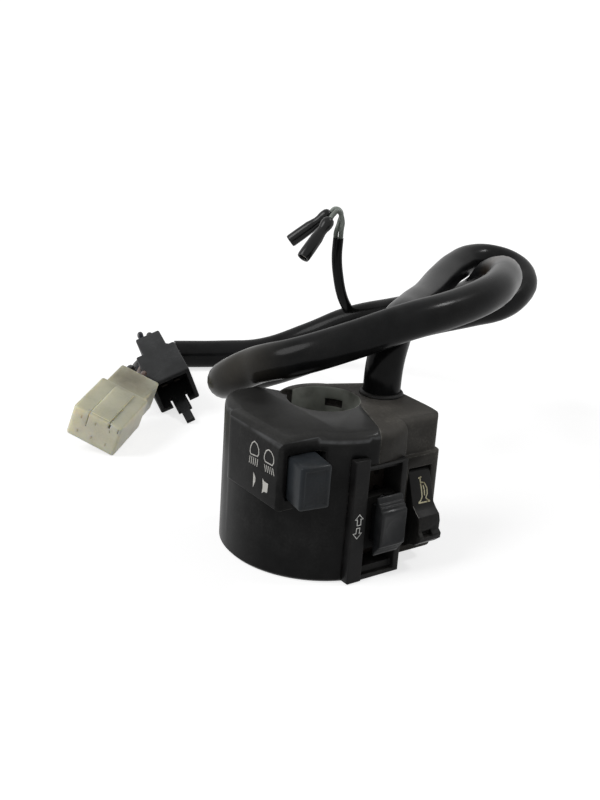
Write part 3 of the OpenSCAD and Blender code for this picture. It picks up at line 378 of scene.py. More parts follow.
dust_group, dust_in, dust_out = shader_group("dust", {"Scale": 60.0, "Amount": 0.4, "Upward": 0.5}, ("Mask",))
dust_up = steps_node(dust_group, upward(dust_group), -0.2, 0.9)
dust_patch = steps_node(dust_group, noise_node(dust_group, dust_in.outputs["Scale"], 6, 0.65), 0.38, 0.68)
dust_speck = steps_node(dust_group, noise_node(dust_group, 1400.0, 2, 0.5), 0.35, 0.75)
dust_mix = math_node(dust_group, "MULTIPLY", dust_patch, math_node(dust_group, "ADD", dust_speck, 0.45))
dust_lift = math_node(dust_group, "MULTIPLY", dust_up, dust_in.outputs["Upward"])
dust_sum = math_node(dust_group, "ADD", dust_mix, dust_lift)
dust_mask = math_node(dust_group, "MULTIPLY", dust_sum, dust_in.outputs["Amount"], clamp=True)
dust_group.links.new(dust_mask, dust_out.inputs["Mask"])

wear_group, wear_in, wear_out = shader_group("worn_edges", {"Radius": 0.0006, "Amount": 0.5}, ("Mask",))
edge_normal = rounded_normal(wear_group, wear_in.outputs["Radius"])
facing = vector_node(wear_group, "DOT_PRODUCT", edge_normal, face_normal(wear_group))
edge = steps_node(wear_group, math_node(wear_group, "SUBTRACT", 1.0, facing.outputs["Value"]), 0.02, 0.22)
scuff = steps_node(wear_group, noise_node(wear_group, 240.0, 5, 0.7), 0.4, 0.65)
worn = math_node(wear_group, "MULTIPLY", edge, scuff)
wear_mask = math_node(wear_group, "MULTIPLY", worn, wear_in.outputs["Amount"])
wear_group.links.new(wear_mask, wear_out.inputs["Mask"])

spot_group, spot_in, spot_out = shader_group(
    "spot", {"X": 0.0, "Y": 0.0, "Z": 0.0, "Reach": 0.02, "Strength": 0.5}, ("Mask",))
spot_at = spot_group.nodes.new("ShaderNodeCombineXYZ")
for axis in "XYZ":
    spot_group.links.new(spot_in.outputs[axis], spot_at.inputs[axis])
spot_away = vector_node(spot_group, "DISTANCE", object_place(spot_group), spot_at.outputs["Vector"])
spot_near = steps_node(spot_group, spot_away.outputs["Value"], spot_in.outputs["Reach"], 0.0)
spot_patch = math_node(spot_group, "MULTIPLY", noise_node(spot_group, 220.0, 4, 0.6), 0.8)
spot_patch = math_node(spot_group, "ADD", spot_patch, 0.6)
spot_mix = math_node(spot_group, "MULTIPLY", spot_near, spot_patch)
spot_mask = math_node(spot_group, "MULTIPLY", spot_mix, spot_in.outputs["Strength"], clamp=True)
spot_group.links.new(spot_mask, spot_out.inputs["Mask"])

# Painted light on the bore's wall: pale patches close to the bore's radius stand in for light that does not
# reach into the deep bore.
bore_r = 11.1
bore_painted_light_group, bore_painted_light_in, bore_painted_light_out = shader_group("painted_light_in_bore", {"Scale": 160.0}, ("Mask",))
bore_painted_light_flat = vector_node(bore_painted_light_group, "MULTIPLY", object_place(bore_painted_light_group))
bore_painted_light_flat.inputs[1].default_value = (1, 1, 0)
bore_painted_light_away = vector_node(bore_painted_light_group, "LENGTH", bore_painted_light_flat.outputs["Vector"])
bore_painted_light_near = steps_node(bore_painted_light_group, bore_painted_light_away.outputs["Value"], (bore_r + 0.15) * MM, (bore_r + 0.02) * MM)
bore_painted_light_patch = steps_node(bore_painted_light_group, noise_node(bore_painted_light_group, bore_painted_light_in.outputs["Scale"], 3, 0.5), 0.0, 0.62)
bore_painted_light_group.links.new(math_node(bore_painted_light_group, "MULTIPLY", bore_painted_light_near, bore_painted_light_patch), bore_painted_light_out.inputs["Mask"])
print("node groups", [g.name for g in bpy.data.node_groups])

# %% [markdown]
# ## Finishes
#
# One function mixes a plastic from the groups: a base colour that drifts a little, dust over it, pale worn
# edges, and a bump from the grain on top of rounded edges. A thin coat gives the pieces that are handled
# their polish. Every number that is the same all over the surface sits on the shader itself.

# %% Plastic finishes
def place_group(tree, group, **values):
    """A group in a material, with its own input values."""
    node = tree.nodes.new("ShaderNodeGroup")
    node.node_tree = group
    for socket, value in values.items():
        node.inputs[socket].default_value = value
    return node


def mix_colours(tree, factor, a, b):
    """A colour mix of two colours or sockets."""
    node = tree.nodes.new("ShaderNodeMix")
    node.data_type = "RGBA"
    for socket, value in (("Factor", factor), (6, a), (7, b)):
        feed(tree, node.inputs[socket], value)
    return node.outputs[2]


polish_roughness = 0.18
grain_height = 0.2 * MM
worn_colour = (0.16, 0.155, 0.14)


def plastic(name, colour, roughness, dust, dust_colour=(0.15, 0.14, 0.125), wear=0.1, grain=2500.0, bump=0.1,
            edge=0.4, specular=0.1, coat=0.0):
    """A moulded plastic with grain, dust, worn edges and a coat of polish."""
    material, tree, shader = new_material(name, {
        "Specular IOR Level": specular, "Coat Weight": coat, "Coat Roughness": polish_roughness})
    grain_node = place_group(tree, grain_group, Scale=grain)
    dust_node = place_group(tree, dust_group, Amount=dust[0], Upward=dust[1])
    wear_node = place_group(tree, wear_group, Radius=edge * MM, Amount=wear)
    pale = tuple(min(1, c * 1.35 + 0.004) for c in colour)
    deep = tuple(c * 0.75 for c in colour)
    tone = mix_colours(tree, steps_node(tree, grain_node.outputs["Tone"], 0.3, 0.7), deep, pale)
    dusty = mix_colours(tree, dust_node.outputs["Mask"], tone, dust_colour)
    worn_tone = mix_colours(tree, wear_node.outputs["Mask"], dusty, worn_colour)
    tree.links.new(worn_tone, shader.inputs["Base Color"])
    rough = math_node(tree, "MULTIPLY", dust_node.outputs["Mask"], 0.25)
    rough = math_node(tree, "ADD", rough, math_node(tree, "MULTIPLY", grain_node.outputs["Tone"], 0.16))
    tree.links.new(math_node(tree, "ADD", rough, roughness - 0.08, clamp=True), shader.inputs["Roughness"])
    relief = tree.nodes.new("ShaderNodeBump")
    relief.inputs["Strength"].default_value = bump
    relief.inputs["Distance"].default_value = grain_height
    tree.links.new(grain_node.outputs["Height"], relief.inputs["Height"])
    tree.links.new(rounded_normal(tree, edge * MM), relief.inputs["Normal"])
    tree.links.new(relief.outputs["Normal"], shader.inputs["Normal"])
    return material


upper_finish = plastic("upper_charcoal", (0.0056, 0.0057, 0.0058), 0.36, dust=(0.05, 2.4),
                       dust_colour=(0.15, 0.148, 0.142), wear=0.7, edge=0.8, specular=0.03, coat=0.07)
lower_finish = plastic("lower_dusty", (0.0180, 0.0167, 0.0145), 0.5, dust=(0.3, 0.5), wear=0.9, edge=0.8)
knob_finish = plastic("knob_blue_grey", (0.0085, 0.0112, 0.0142), 0.40, dust=(0.05, 0.15), wear=0.25,
                      specular=0.12, coat=0.08)
turn_finish = plastic("turn_black", (0.0080, 0.0090, 0.0102), 0.38, dust=(0.05, 0.15), wear=0.25,
                      specular=0.10, coat=0.1)
bezel_finish = plastic("bezel_black", (0.0082, 0.0082, 0.0085), 0.42, dust=(0.08, 0.2), wear=0.3)
paddle_finish = plastic("paddle_black", (0.0072, 0.0072, 0.0072), 0.42, dust=(0.08, 0.2), wear=0.3)
connector_black = plastic("connector_black", (0.009, 0.0092, 0.0095), 0.5, dust=(0.10, 0.7),
                          dust_colour=(0.17, 0.175, 0.18), wear=0.2)
inner_black = plastic("inner_black", (0.006, 0.006, 0.006), 0.6, dust=(0.05, 0.1), specular=0.06)
sheath_finish = plastic("sheath_black", (0.0036, 0.0039, 0.0043), 0.30, dust=(0.06, 0.4),
                        dust_colour=(0.060, 0.054, 0.046), wear=0.0, grain=1800.0, bump=0.05, specular=0.02,
                        coat=0.14)
rubber_finish = plastic("rubber_black", (0.006, 0.006, 0.006), 0.5, dust=(0.12, 0.15), specular=0.12)
sleeve_finish = plastic("sleeve_glossy", (0.0036, 0.0038, 0.0040), 0.22, dust=(0.03, 0.1), specular=0.12,
                        coat=0.2)
board_finish = plastic("board_brown", (0.012, 0.008, 0.006), 0.55, dust=(0.1, 0.1))
nylon_finish = plastic("nylon_natural", (0.42, 0.39, 0.31), 0.45, dust=(0.15, 0.1), specular=0.4)
print("plastics made")

# %% [markdown]
# ## Metals, the clear connector, the wires and the print
#
# The white connector is unfilled nylon: light goes into it and comes out again, so it has subsurface
# scattering and a yellowed tint. Terminals and screws are metal, with a colour that drifts from tarnish.
# The contacts deep in the black socket and behind the turn window are painted near black, as shade.
# Stains go over the mixed finish: the sheath is rubbed pale where it bends beside the cluster and smudged
# brown where its front run turns down, and the connector is browned at its rear, where the terminals sit
# inside. The upper housing's rounded rim gets a painted highlight, a pale band along it.

# %% Other finishes
def metal(name, colour, dull, roughness):
    """A plain metal, tarnished in patches."""
    material, tree, shader = new_material(name, {"Metallic": 1.0})
    patch = steps_node(tree, noise_node(tree, 500.0, 5, 0.6), 0.35, 0.7)
    tree.links.new(mix_colours(tree, patch, colour, dull), shader.inputs["Base Color"])
    rough = math_node(tree, "ADD", math_node(tree, "MULTIPLY", patch, 0.2), roughness)
    tree.links.new(rough, shader.inputs["Roughness"])
    return material


def wire_skin(name, colour, grime=0.15, specular=0.3):
    """Smooth wire insulation with a little grime."""
    return plastic(
        name, colour, 0.38, dust=(grime, 0.1), wear=0.0, grain=1500.0, bump=0.04, specular=specular)


def tone_over(material, mask, colour):
    """Lays a colour over a finish where a mask is 1."""
    tree = material.node_tree
    base = tree.nodes["Principled BSDF"].inputs["Base Color"]
    before = base.links[0].from_socket
    tree.links.new(mix_colours(tree, mask, before, colour), base)


def add_spot(material, at, reach, colour, strength):
    """Fades a finish to another colour around a point, in millimetres."""
    x, y, z = Vector(at) * MM
    spot = place_group(material.node_tree, spot_group, X=x, Y=y, Z=z, Reach=reach * MM, Strength=strength)
    tone_over(material, spot.outputs["Mask"], colour)


def add_painted_rim_highlight(material, colour):
    """Paints a pale highlight on the rounded rim: the faces that lean outwards and up, in patches."""
    tree = material.node_tree
    lean = upward(tree)
    rise = steps_node(tree, lean, 0.22, 0.42)
    fall = steps_node(tree, lean, 0.66, 0.46)
    highlight_patches = steps_node(tree, noise_node(tree, 130.0, 4, 0.6), 0.3, 0.62)
    mask = math_node(tree, "MULTIPLY", math_node(tree, "MULTIPLY", rise, fall), highlight_patches)
    tone_over(material, mask, colour)


steel_finish = metal("steel_plated", (0.45, 0.44, 0.42), (0.20, 0.18, 0.15), 0.35)
brass_finish = metal("brass_tinned", (0.36, 0.29, 0.17), (0.16, 0.11, 0.06), 0.38)
# Painted shade: a near-black metal for the contacts that lie deep in the black socket and behind the turn
# window.
shaded_terminal_finish = metal("terminal_painted_shade", (0.016, 0.014, 0.012), (0.008, 0.007, 0.006), 0.55)
spring_finish = metal("spring_blued", (0.07, 0.07, 0.075), (0.03, 0.028, 0.026), 0.4)
add_spot(sheath_finish, (-15, 22, 51), 24, (0.075, 0.068, 0.056), 0.4)
add_spot(sheath_finish, (98, 28, 70), 22, (0.045, 0.030, 0.018), 0.45)
# Painted light: pale patches on the bore's wall of both housings.
for finish in (lower_finish, upper_finish):
    bore_painted_light = place_group(finish.node_tree, bore_painted_light_group)
    tone_over(finish, bore_painted_light.outputs["Mask"], (0.28, 0.29, 0.26))
# Painted highlight: a pale band along the upper housing's rounded rim.
add_painted_rim_highlight(upper_finish, (0.075, 0.076, 0.078))

white_finish, clear_tree, clear_shader = new_material("connector_clear_white", {
    "Roughness": 0.42, "Specular IOR Level": 0.3, "Subsurface Weight": 0.85,
    "Subsurface Radius": (1.0, 0.85, 0.5), "Subsurface Scale": 0.006})
clear_tone = steps_node(clear_tree, noise_node(clear_tree, 110.0, 4, 0.6), 0.3, 0.7)
clear_colour = mix_colours(clear_tree, clear_tone, (0.82, 0.79, 0.62), (0.74, 0.71, 0.56))
clear_dust = place_group(clear_tree, dust_group, Amount=0.12, Upward=6.0, Scale=110.0)
clear_colour = mix_colours(clear_tree, clear_dust.outputs["Mask"], clear_colour, (0.33, 0.325, 0.235))
clear_tree.links.new(clear_colour, clear_shader.inputs["Base Color"])
clear_edge = 0.6 * MM
clear_tree.links.new(rounded_normal(clear_tree, clear_edge), clear_shader.inputs["Normal"])
add_spot(white_finish, (-10, 105, 18), 15, (0.15, 0.13, 0.085), 0.9)


def ink(name, colour, faded, worn):
    """Print that is worn through in patches."""
    material, tree, shader = new_material(name, {"Roughness": 0.55, "Specular IOR Level": 0.2})
    patch = steps_node(tree, noise_node(tree, 900.0, 4, 0.7), worn - 0.1, worn + 0.1)
    tree.links.new(mix_colours(tree, patch, faded, colour), shader.inputs["Base Color"])
    return material


white_ink = ink("white_ink", (0.52, 0.51, 0.48), (0.26, 0.25, 0.23), 0.38)
# The arrows' print is a brighter copy of the white print: painted light on the shaded ridge.
arrow_ink_painted_light = ink("arrow_ink_painted_light", (0.90, 0.90, 0.87), (0.60, 0.60, 0.57), 0.3)
yellow_ink = ink("yellow_ink", (0.60, 0.56, 0.38), (0.22, 0.19, 0.10), 0.42)
print("metals, clear white and inks made")

# %% [markdown]
# ## Finishing the cords
#
# Every piece gets a finish, the body that it moves with and the CAD nodes that it stands for, which are
# hidden. The cords are the first. The wires to the white connector keep different colours under their
# grime, and those to the black one are nearly black.

# %% Finishes for the cords
def dress(piece, finish, body, slot, *nodes):
    """Gives a piece its finish, its body and the CAD nodes that it stands for, which it hides; the slot is
    not used.
    """
    piece.data.materials.clear()
    piece.data.materials.append(finish)
    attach(piece, body)
    if nodes:
        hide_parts(*nodes)
    if piece.type == "MESH":
        size = [round(s, 1) for s in piece.dimensions / MM]
        print(piece.name, len(piece.data.polygons), "faces", size, "mm")


dress(harness, sheath_finish, "housing", "sheath_pvc", "harness_sheath")
dress(branch, sheath_finish, "housing", "sheath_pvc", "branch_sheath")
white_skins = [(0.050, 0.070, 0.110), (0.040, 0.060, 0.035), (0.012, 0.012, 0.012), (0.070, 0.032, 0.018)]
black_skins = [(0.004, 0.005, 0.010), (0.004, 0.004, 0.004)]
for wire, skin in zip(white_wires, white_skins):
    dress(wire, wire_skin(f"{wire.name}_skin", skin), "housing", "wire_pvc", "white_wires")
for wire, skin in zip(black_wires, black_skins):
    dress(wire, wire_skin(f"{wire.name}_skin", skin, 0.02, 0.04), "housing", "wire_pvc", "black_wires")
print("cords dressed")

# %% [markdown]
# ## Ways of modelling
#
# A few small helpers cover most pieces. A prism starts as a filled circle whose vertices are moved to an
# outline and is then extruded. A block starts as a cube. A turned piece is an outline spun about Z. A
# tool is cut away with an applied Boolean, and edges are rounded with an applied Bevel. All outlines are
# in millimetres.

# %% Modelling helpers
def activate(piece):
    """Makes one piece the selected and active one."""
    deselect_all()
    piece.select_set(True)
    bpy.context.view_layer.objects.active = piece


def in_edit_mode(piece, *steps):
    """Runs operators, each a function, on everything in a piece's mesh."""
    activate(piece)
    bpy.ops.object.mode_set(mode="EDIT")
    for step in steps:
        bpy.ops.mesh.select_all(action="SELECT")
        step()
    bpy.ops.object.mode_set(mode="OBJECT")


def outward():
    """Turns the faces outwards."""
    bpy.ops.mesh.normals_make_consistent(inside=False)


def outline_face(name, points):
    """A flat face with its corners at points in millimetres."""
    deselect_all()
    bpy.ops.mesh.primitive_circle_add(vertices=len(points), radius=MM, fill_type="NGON")
    piece = bpy.context.object
    piece.name = name
    for vertex, point in zip(piece.data.vertices, points):
        vertex.co = Vector(point) * MM
    return piece


def prism(name, outline, axis, start, end):
    """An outline pushed along an axis. It is drawn in the other two, in the order X, Y, Z."""
    def at(u, v, w):
        return {"X": (w, u, v), "Y": (u, w, v), "Z": (u, v, w)}[axis]
    piece = outline_face(name, [at(u, v, start) for u, v in outline])
    push = Vector(at(0, 0, end - start)) * MM
    in_edit_mode(
        piece, lambda: bpy.ops.mesh.extrude_region_move(TRANSFORM_OT_translate={"value": push}), outward)
    return piece


def block(name, low, high):
    """A box given by its lowest and highest corners in millimetres."""
    low, high = Vector(low) * MM, Vector(high) * MM
    deselect_all()
    bpy.ops.mesh.primitive_cube_add(size=1, location=(low + high) / 2)
    piece = bpy.context.object
    piece.name = name
    piece.scale = high - low
    bpy.ops.object.transform_apply()
    return piece


def turned(name, outline, sides):
    """A closed outline of radius and height, spun about Z."""
    piece = outline_face(name, [(r, 0, z) for r, z in outline])
    in_edit_mode(
        piece,
        lambda: bpy.ops.mesh.delete(type="ONLY_FACE"),
        lambda: bpy.ops.mesh.spin(steps=sides, angle=2 * pi, center=(0, 0, 0), axis=(0, 0, 1)),
        lambda: bpy.ops.mesh.remove_doubles(threshold=1e-6),
        outward)
    return piece


def use_modifier(piece, kind, **values):
    """Adds a modifier with its values and applies it."""
    activate(piece)
    modifier = piece.modifiers.new(kind.lower(), kind)
    for key, value in values.items():
        setattr(modifier, key, value)
    bpy.ops.object.modifier_apply(modifier=modifier.name)


def cut(piece, *tools, how="DIFFERENCE"):
    """Cuts tools away from a piece, or joins them to it with how="UNION"."""
    for tool in tools:
        use_modifier(piece, "BOOLEAN", object=tool, operation=how, solver="EXACT")
        bpy.data.objects.remove(tool)


def round_edges(piece, width, segments, angle=35):
    """Rounds every edge that is sharper than an angle."""
    use_modifier(
        piece, "BEVEL", width=width * MM, segments=segments, limit_method="ANGLE", angle_limit=radians(angle))
    return piece


def place_by(piece, matrix):
    """Moves a piece's mesh by a matrix in millimetres."""
    metres = matrix.copy()
    metres.translation = matrix.translation * MM
    piece.data.transform(metres)
    return piece


def smooth(piece, angle):
    """Smooth shading up to an angle."""
    activate(piece)
    bpy.ops.object.shade_smooth_by_angle(angle=radians(angle))
    return piece


def copy_of(node):
    """A copy of a CAD node's mesh with its triangles joined into faces."""
    piece = new_object(f"{node}_form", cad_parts[node].data.copy())
    in_edit_mode(
        piece,
        lambda: bpy.ops.mesh.remove_doubles(threshold=2e-6),
        lambda: bpy.ops.mesh.dissolve_limited(angle_limit=radians(0.5)))
    return piece


# %% [markdown]
# ## The housings
#
# The two halves are moulded shells that are parted along a bent plane through the bar. Their walls, ribs
# and windows are exact in the CAD model, so each half starts as a copy of its node. Joining the triangles
# into faces lets a Bevel find the real edges, and it rounds them as a mould does. Where the form has very
# short edges, a Bevel would fold over itself, so those corners stay sharp: each edge has a weight, and
# only the clear ones are rounded.

# %% Housings
def round_clear_edges(piece, width, shortest=0.6, angle=40):
    """Rounds the sharp edges of a copied piece, except beside edges shorter than a length in millimetres."""
    mesh = piece.data
    nearest = [1.0] * len(mesh.vertices)
    for edge in mesh.edges:
        a, b = (mesh.vertices[v].co for v in edge.vertices)
        for v in edge.vertices:
            nearest[v] = min(nearest[v], (a - b).length)
    sides = {}
    for polygon in mesh.polygons:
        for key in polygon.edge_keys:
            sides.setdefault(key, []).append(polygon.normal.copy())
    weights = mesh.attributes.new("bevel_weight_edge", "FLOAT", "EDGE")
    for edge in mesh.edges:
        normals = sides.get(edge.key, [])
        sharp = len(normals) == 2 and normals[0].angle(normals[1], 0) > radians(angle)
        clear = min(nearest[v] for v in edge.vertices) > shortest * MM
        weights.data[edge.index].value = 1.0 if sharp and clear else 0.0
    use_modifier(piece, "BEVEL", width=width * MM, segments=2, limit_method="WEIGHT")


def mould(node, width, finish, slot):
    """Dresses a copy of a housing's CAD node with its clear edges rounded."""
    piece = copy_of(node)
    round_clear_edges(piece, width)
    dress(smooth(piece, 35), finish, "housing", slot, node)


mould("upper_housing", 0.35, upper_finish, "upper_plastic")
mould("lower_housing", 0.35, lower_finish, "lower_plastic")

# %% [markdown]
# ## The dimmer knob
#
# The knob is a small block that stands well out of the pod, with rounded edges and a shallow panel for the
# thumb. Its plan is pushed upwards and its edges are rounded. Then the front face is inset and pushed in, and
# the knob is turned about its pivot to the place where it rests.

# %% Dimmer knob
dimmer_pivot = (-22.2, -18.4, 34.2)
dimmer_rest = radians(-9)


def dish(piece, rim, depth):
    """Insets the large front face by a rim and pushes it in by a depth, in millimetres."""
    in_edit_mode(piece, lambda: bpy.ops.mesh.select_all(action="DESELECT"))
    front = max((p for p in piece.data.polygons if p.normal.y < -0.95), key=lambda p: p.area)
    front.select = True
    bpy.ops.object.mode_set(mode="EDIT")
    bpy.ops.mesh.select_mode(type="FACE")
    bpy.ops.mesh.inset(thickness=rim * MM, depth=0)
    bpy.ops.mesh.inset(thickness=0.5 * MM, depth=-depth * MM)
    bpy.ops.mesh.select_mode(type="VERT")
    bpy.ops.object.mode_set(mode="OBJECT")


dimmer_knob = prism(
    "dimmer_knob_form", [(-4.7, -2.6), (-4.7, -13.3), (4.7, -13.3), (4.7, -2.6)], "Z", -6.5, 6.5)
round_edges(dimmer_knob, 0.9, 4, 30)
dish(dimmer_knob, 0.3, 0.35)
dimmer_place = Matrix.Translation(dimmer_pivot) @ Matrix.Rotation(dimmer_rest, 4, "Z")
smooth(place_by(dimmer_knob, dimmer_place), 30)
dress(dimmer_knob, knob_finish, "dimmer", "button_plastic", "dimmer_knob")

# %% [markdown]
# ## The turn switch
#
# The bezel is a copied frame with rounded edges. The knob's cap is drawn as a side profile: a square thumb
# pad, and to each side a ribbed slope down to the shoulders that slide over the bezel. Its pad has a thin
# raised frame and a shallow round dish, which a large sphere takes out. The stem behind it goes through
# the carriage and ends in a flange.

# %% Turn bezel and knob
mould("turn_bezel", 0.25, bezel_finish, "black_plastic")

turn_middle = (2.9, 0, 17.2)
half_profile = [
    (-34, 5.2), (-33.8, 5.5), (-33.1, 5.9), (-33.1, 6.6), (-32.4, 6.7), (-32.4, 7.4), (-31.7, 7.5),
    (-31.7, 8.2), (-31, 9.2), (-30.4, 9.2),
]
thumb_r = 14
thumb_middle = (0.9, -47.25, -0.6)
turn_knob = prism(
    "turn_knob_form", half_profile + [(y, -z) for y, z in reversed(half_profile)], "X", -4.5, 4.5)
round_edges(turn_knob, 0.3, 3, 30)
dish(turn_knob, 0.6, 0.25)
cut(turn_knob, block("stem", (-3.2, -30.6, -5.6), (3.2, -23.7, 5.6)),
    block("flange", (-3.2, -24.3, -6.6), (3.2, -23.7, 6.6)), how="UNION")
deselect_all()
bpy.ops.mesh.primitive_uv_sphere_add(
    segments=96, ring_count=64, radius=thumb_r * MM, location=Vector(thumb_middle) * MM)
cut(turn_knob, bpy.context.object)
smooth(place_by(turn_knob, Matrix.Translation(turn_middle)), 30)
dress(turn_knob, turn_finish, "turn_button", "button_plastic", "turn_knob")

# %% [markdown]
# ## The horn paddle
#
# The paddle hangs on a pin at its top. Its upper half slants out of the lobe and carries the horn sign; its
# lower half stands out as a thumb pad with a small recess, and ends in a rolled lip.

# %% Horn paddle
horn_left, horn_right = 12.5, 20.5
horn_pin = Vector((-23.4, 28.6))
horn_pin_r = 1.04
paddle_profile = [
    (-24.6, 30.8), (-26.4, 30.4), (-27.4, 29.4), (-30.5, 20.6), (-31.9, 19.2), (-33.5, 18), (-34.1, 16),
    (-34, 13.4), (-35.1, 12.4), (-35, 10.8), (-32.9, 9), (-30, 8), (-27.6, 8.6), (-27.1, 20), (-22.4, 26),
    (-21.5, 28.6), (-22, 30.4),
]
paddle = prism("horn_paddle_form", paddle_profile, "X", horn_left, horn_right)
pin_turns = [2 * pi * i / 24 for i in range(24)]
pin_circle = [horn_pin + Vector((cos(turn), sin(turn))) * horn_pin_r for turn in pin_turns]
cut(paddle, prism("pin_bore", pin_circle, "X", 0, 40),
    block("recess", (13.9, -36, 12), (17.3, -33, 13.7)))
round_edges(paddle, 0.35, 3, 30)
smooth(paddle, 35)
dress(paddle, paddle_finish, "horn", "black_plastic", "horn_paddle")

# %% [markdown]
# ## Printed signs
#
# Each sign is thin print on its face. Its lines are curves with a round bevel, made meshes and pressed almost
# flat on the face, so that they keep soft ends. The pod has the two signs for the headlamp's beams and two
# worn marks below them, the ridge has the two arrows, and the paddle has the horn.

# %% Signs
pressed = 0.75
fine_line, sign_line, horn_line = 0.3, 0.36, 0.42


def print_line(points, normal, thickness, closed=False):
    """A line of print on a flat face, through points in millimetres."""
    line, spline = round_curve("print_line", "POLY", thickness, 2)
    spline.points.add(len(points) - 1)
    for knot, point in zip(spline.points, points):
        knot.co = (*(Vector(point) * MM), 1)
    spline.use_cyclic_u = closed
    activate(line)
    bpy.ops.object.convert(target="MESH")
    line = bpy.context.object
    face = Vector(points[0]) * MM
    for vertex in line.data.vertices:
        vertex.co -= normal * (vertex.co - face).dot(normal) * pressed
    return line


def sign(name, lines, finish, body):
    """Joins lines of print into one piece."""
    deselect_all()
    for line in lines:
        line.select_set(True)
    bpy.context.view_layer.objects.active = lines[0]
    bpy.ops.object.join()
    piece = bpy.context.object
    piece.name = name
    dress(smooth(piece, 50), finish, body, "slider_nylon")


pod_face = -30.5
mark_out, mark_in = 0.04, 0.1
pod_out = Vector((-1, 0, 0))
lamps = [
    ([(-9.8, 41.2), (-8.7, 40.4), (-7.9, 38.9), (-7.75, 37.6), (-8.2, 36.85), (-11.7, 37.3), (-12.2, 38.2),
      (-12.05, 39.6), (-11.1, 40.8)],
     ((-7.9, 36.2), (-7.6, 34.0)), ((-11.8, 36.6), (-11.6, 34.2))),
    ([(-16.9, 41.3), (-15.8, 40.6), (-15.1, 39.3), (-14.95, 38.1), (-15.5, 37.3), (-19.1, 37.4),
      (-19.7, 38.5), (-19.5, 40.0), (-18.3, 41.1)],
     ((-15.3, 36.4), (-16.0, 34.4)), ((-19.3, 36.7), (-20.2, 34.7))),
]
pod_lines = []
for dome, first_beam, last_beam in lamps:
    pod_lines.append(print_line([(pod_face, *p) for p in dome], pod_out, sign_line, closed=True))
    for part in (0, 0.25, 0.5, 0.75, 1):
        beam = [Vector(a).lerp(Vector(b), part) for a, b in zip(first_beam, last_beam)]
        pod_lines.append(print_line([(pod_face, *p) for p in beam], pod_out, fine_line))
marks = (
    [(-10.1, 32), (-10.7, 31.4), (-11.3, 30.6), (-11.2, 29.4), (-10.6, 28.2), (-10.2, 27.4)],
    [(-14.8, 31.9), (-15.6, 31.3), (-17.7, 31.3), (-17.4, 28.5), (-15.8, 28.2), (-14.8, 27.4),
     (-15.1, 29.4)])
for mark in marks:
    pod_lines.append(prism("mark", mark, "X", pod_face - mark_out, pod_face + mark_in))
sign("beam_signs", pod_lines, white_ink, "housing")

ridge_face = -30.1
ridge_out = Vector((0, -1, 0))
arrows = (
    [(-7, 22), (-5.6, 20.5), (-6.35, 20.5), (-6.3, 18.7), (-7.6, 18.7), (-7.65, 20.55), (-8.4, 20.6)],
    [(-7.3, 14.5), (-8.8, 16.3), (-7.75, 16.25), (-7.65, 17.85), (-6.5, 17.8), (-6.6, 16.15), (-5.8, 16.1)])
arrow_lines = [
    print_line([(x, ridge_face, z) for x, z in arrow], ridge_out, sign_line, closed=True) for arrow in arrows]
sign("turn_arrows", arrow_lines, arrow_ink_painted_light, "housing")

slant_low, slant_high = Vector((0, -30.5, 20.6)), Vector((0, -27.4, 29.4))
slant = slant_high - slant_low
slant_out = Vector((0, -slant.z, slant.y)).normalized()
horn_shape = (
    [(15.8, 27.9), (17.0, 28.2)],
    [(16.4, 28.0), (16.4, 26.8), (16.45, 24.6), (16.35, 22.6), (15.7, 21.7), (14.9, 21.2)],
    [(14.7, 21.1), (19.1, 21.0)],
    [(16.6, 26.7), (17.8, 26.4), (18.55, 24.8), (18.4, 23.2), (17.7, 22.2), (18.2, 21.6), (19.0, 21.1)],
    [(17.2, 25.8), (17.5, 24.4), (17.3, 22.9)])
horn_lines = []
for line in horn_shape:
    points = [(x, slant_low.y + (z - slant_low.z) * slant.y / slant.z, z) for x, z in line]
    horn_lines.append(print_line(points, slant_out, horn_line))
sign("horn_sign", horn_lines, yellow_ink, "horn")
corner = [(12.6, -30.5, 20.6), (12.6, -31.85, 19.25), (12.6, -33.4, 18.05)]
sign("rubbed_edge", [print_line(corner, Vector((-1, 0, 0)), fine_line)], white_ink, "horn")

# %% [markdown]
# ## Grommet and bullet terminals
#
# The rubber grommet seals the sheath where it leaves the lobe: a turned ring with a low lip. The two bullet
# terminals on the branch wires each wear a rubber sleeve with a waist. A sleeve is turned about Z and then
# stood along its own line.

# %% Grommet, bullets and branch wires
sheath_r = sheath_d / 2
grommet_outline = (
    (0.03, 42.6), (0.6, 42.6), (0.6, 46.0), (0.95, 46.0), (1.0, 46.2), (0.9, 46.45), (0.5, 46.9), (0.3, 47.0),
    (0.03, 47.0))
grommet = turned("grommet_form", [(sheath_r + out, z) for out, z in grommet_outline], 48)
smooth(place_by(grommet, Matrix.Translation((*cable_exit, 0))), 50)
dress(grommet, rubber_finish, "housing", "rubber", "cable_grommet")

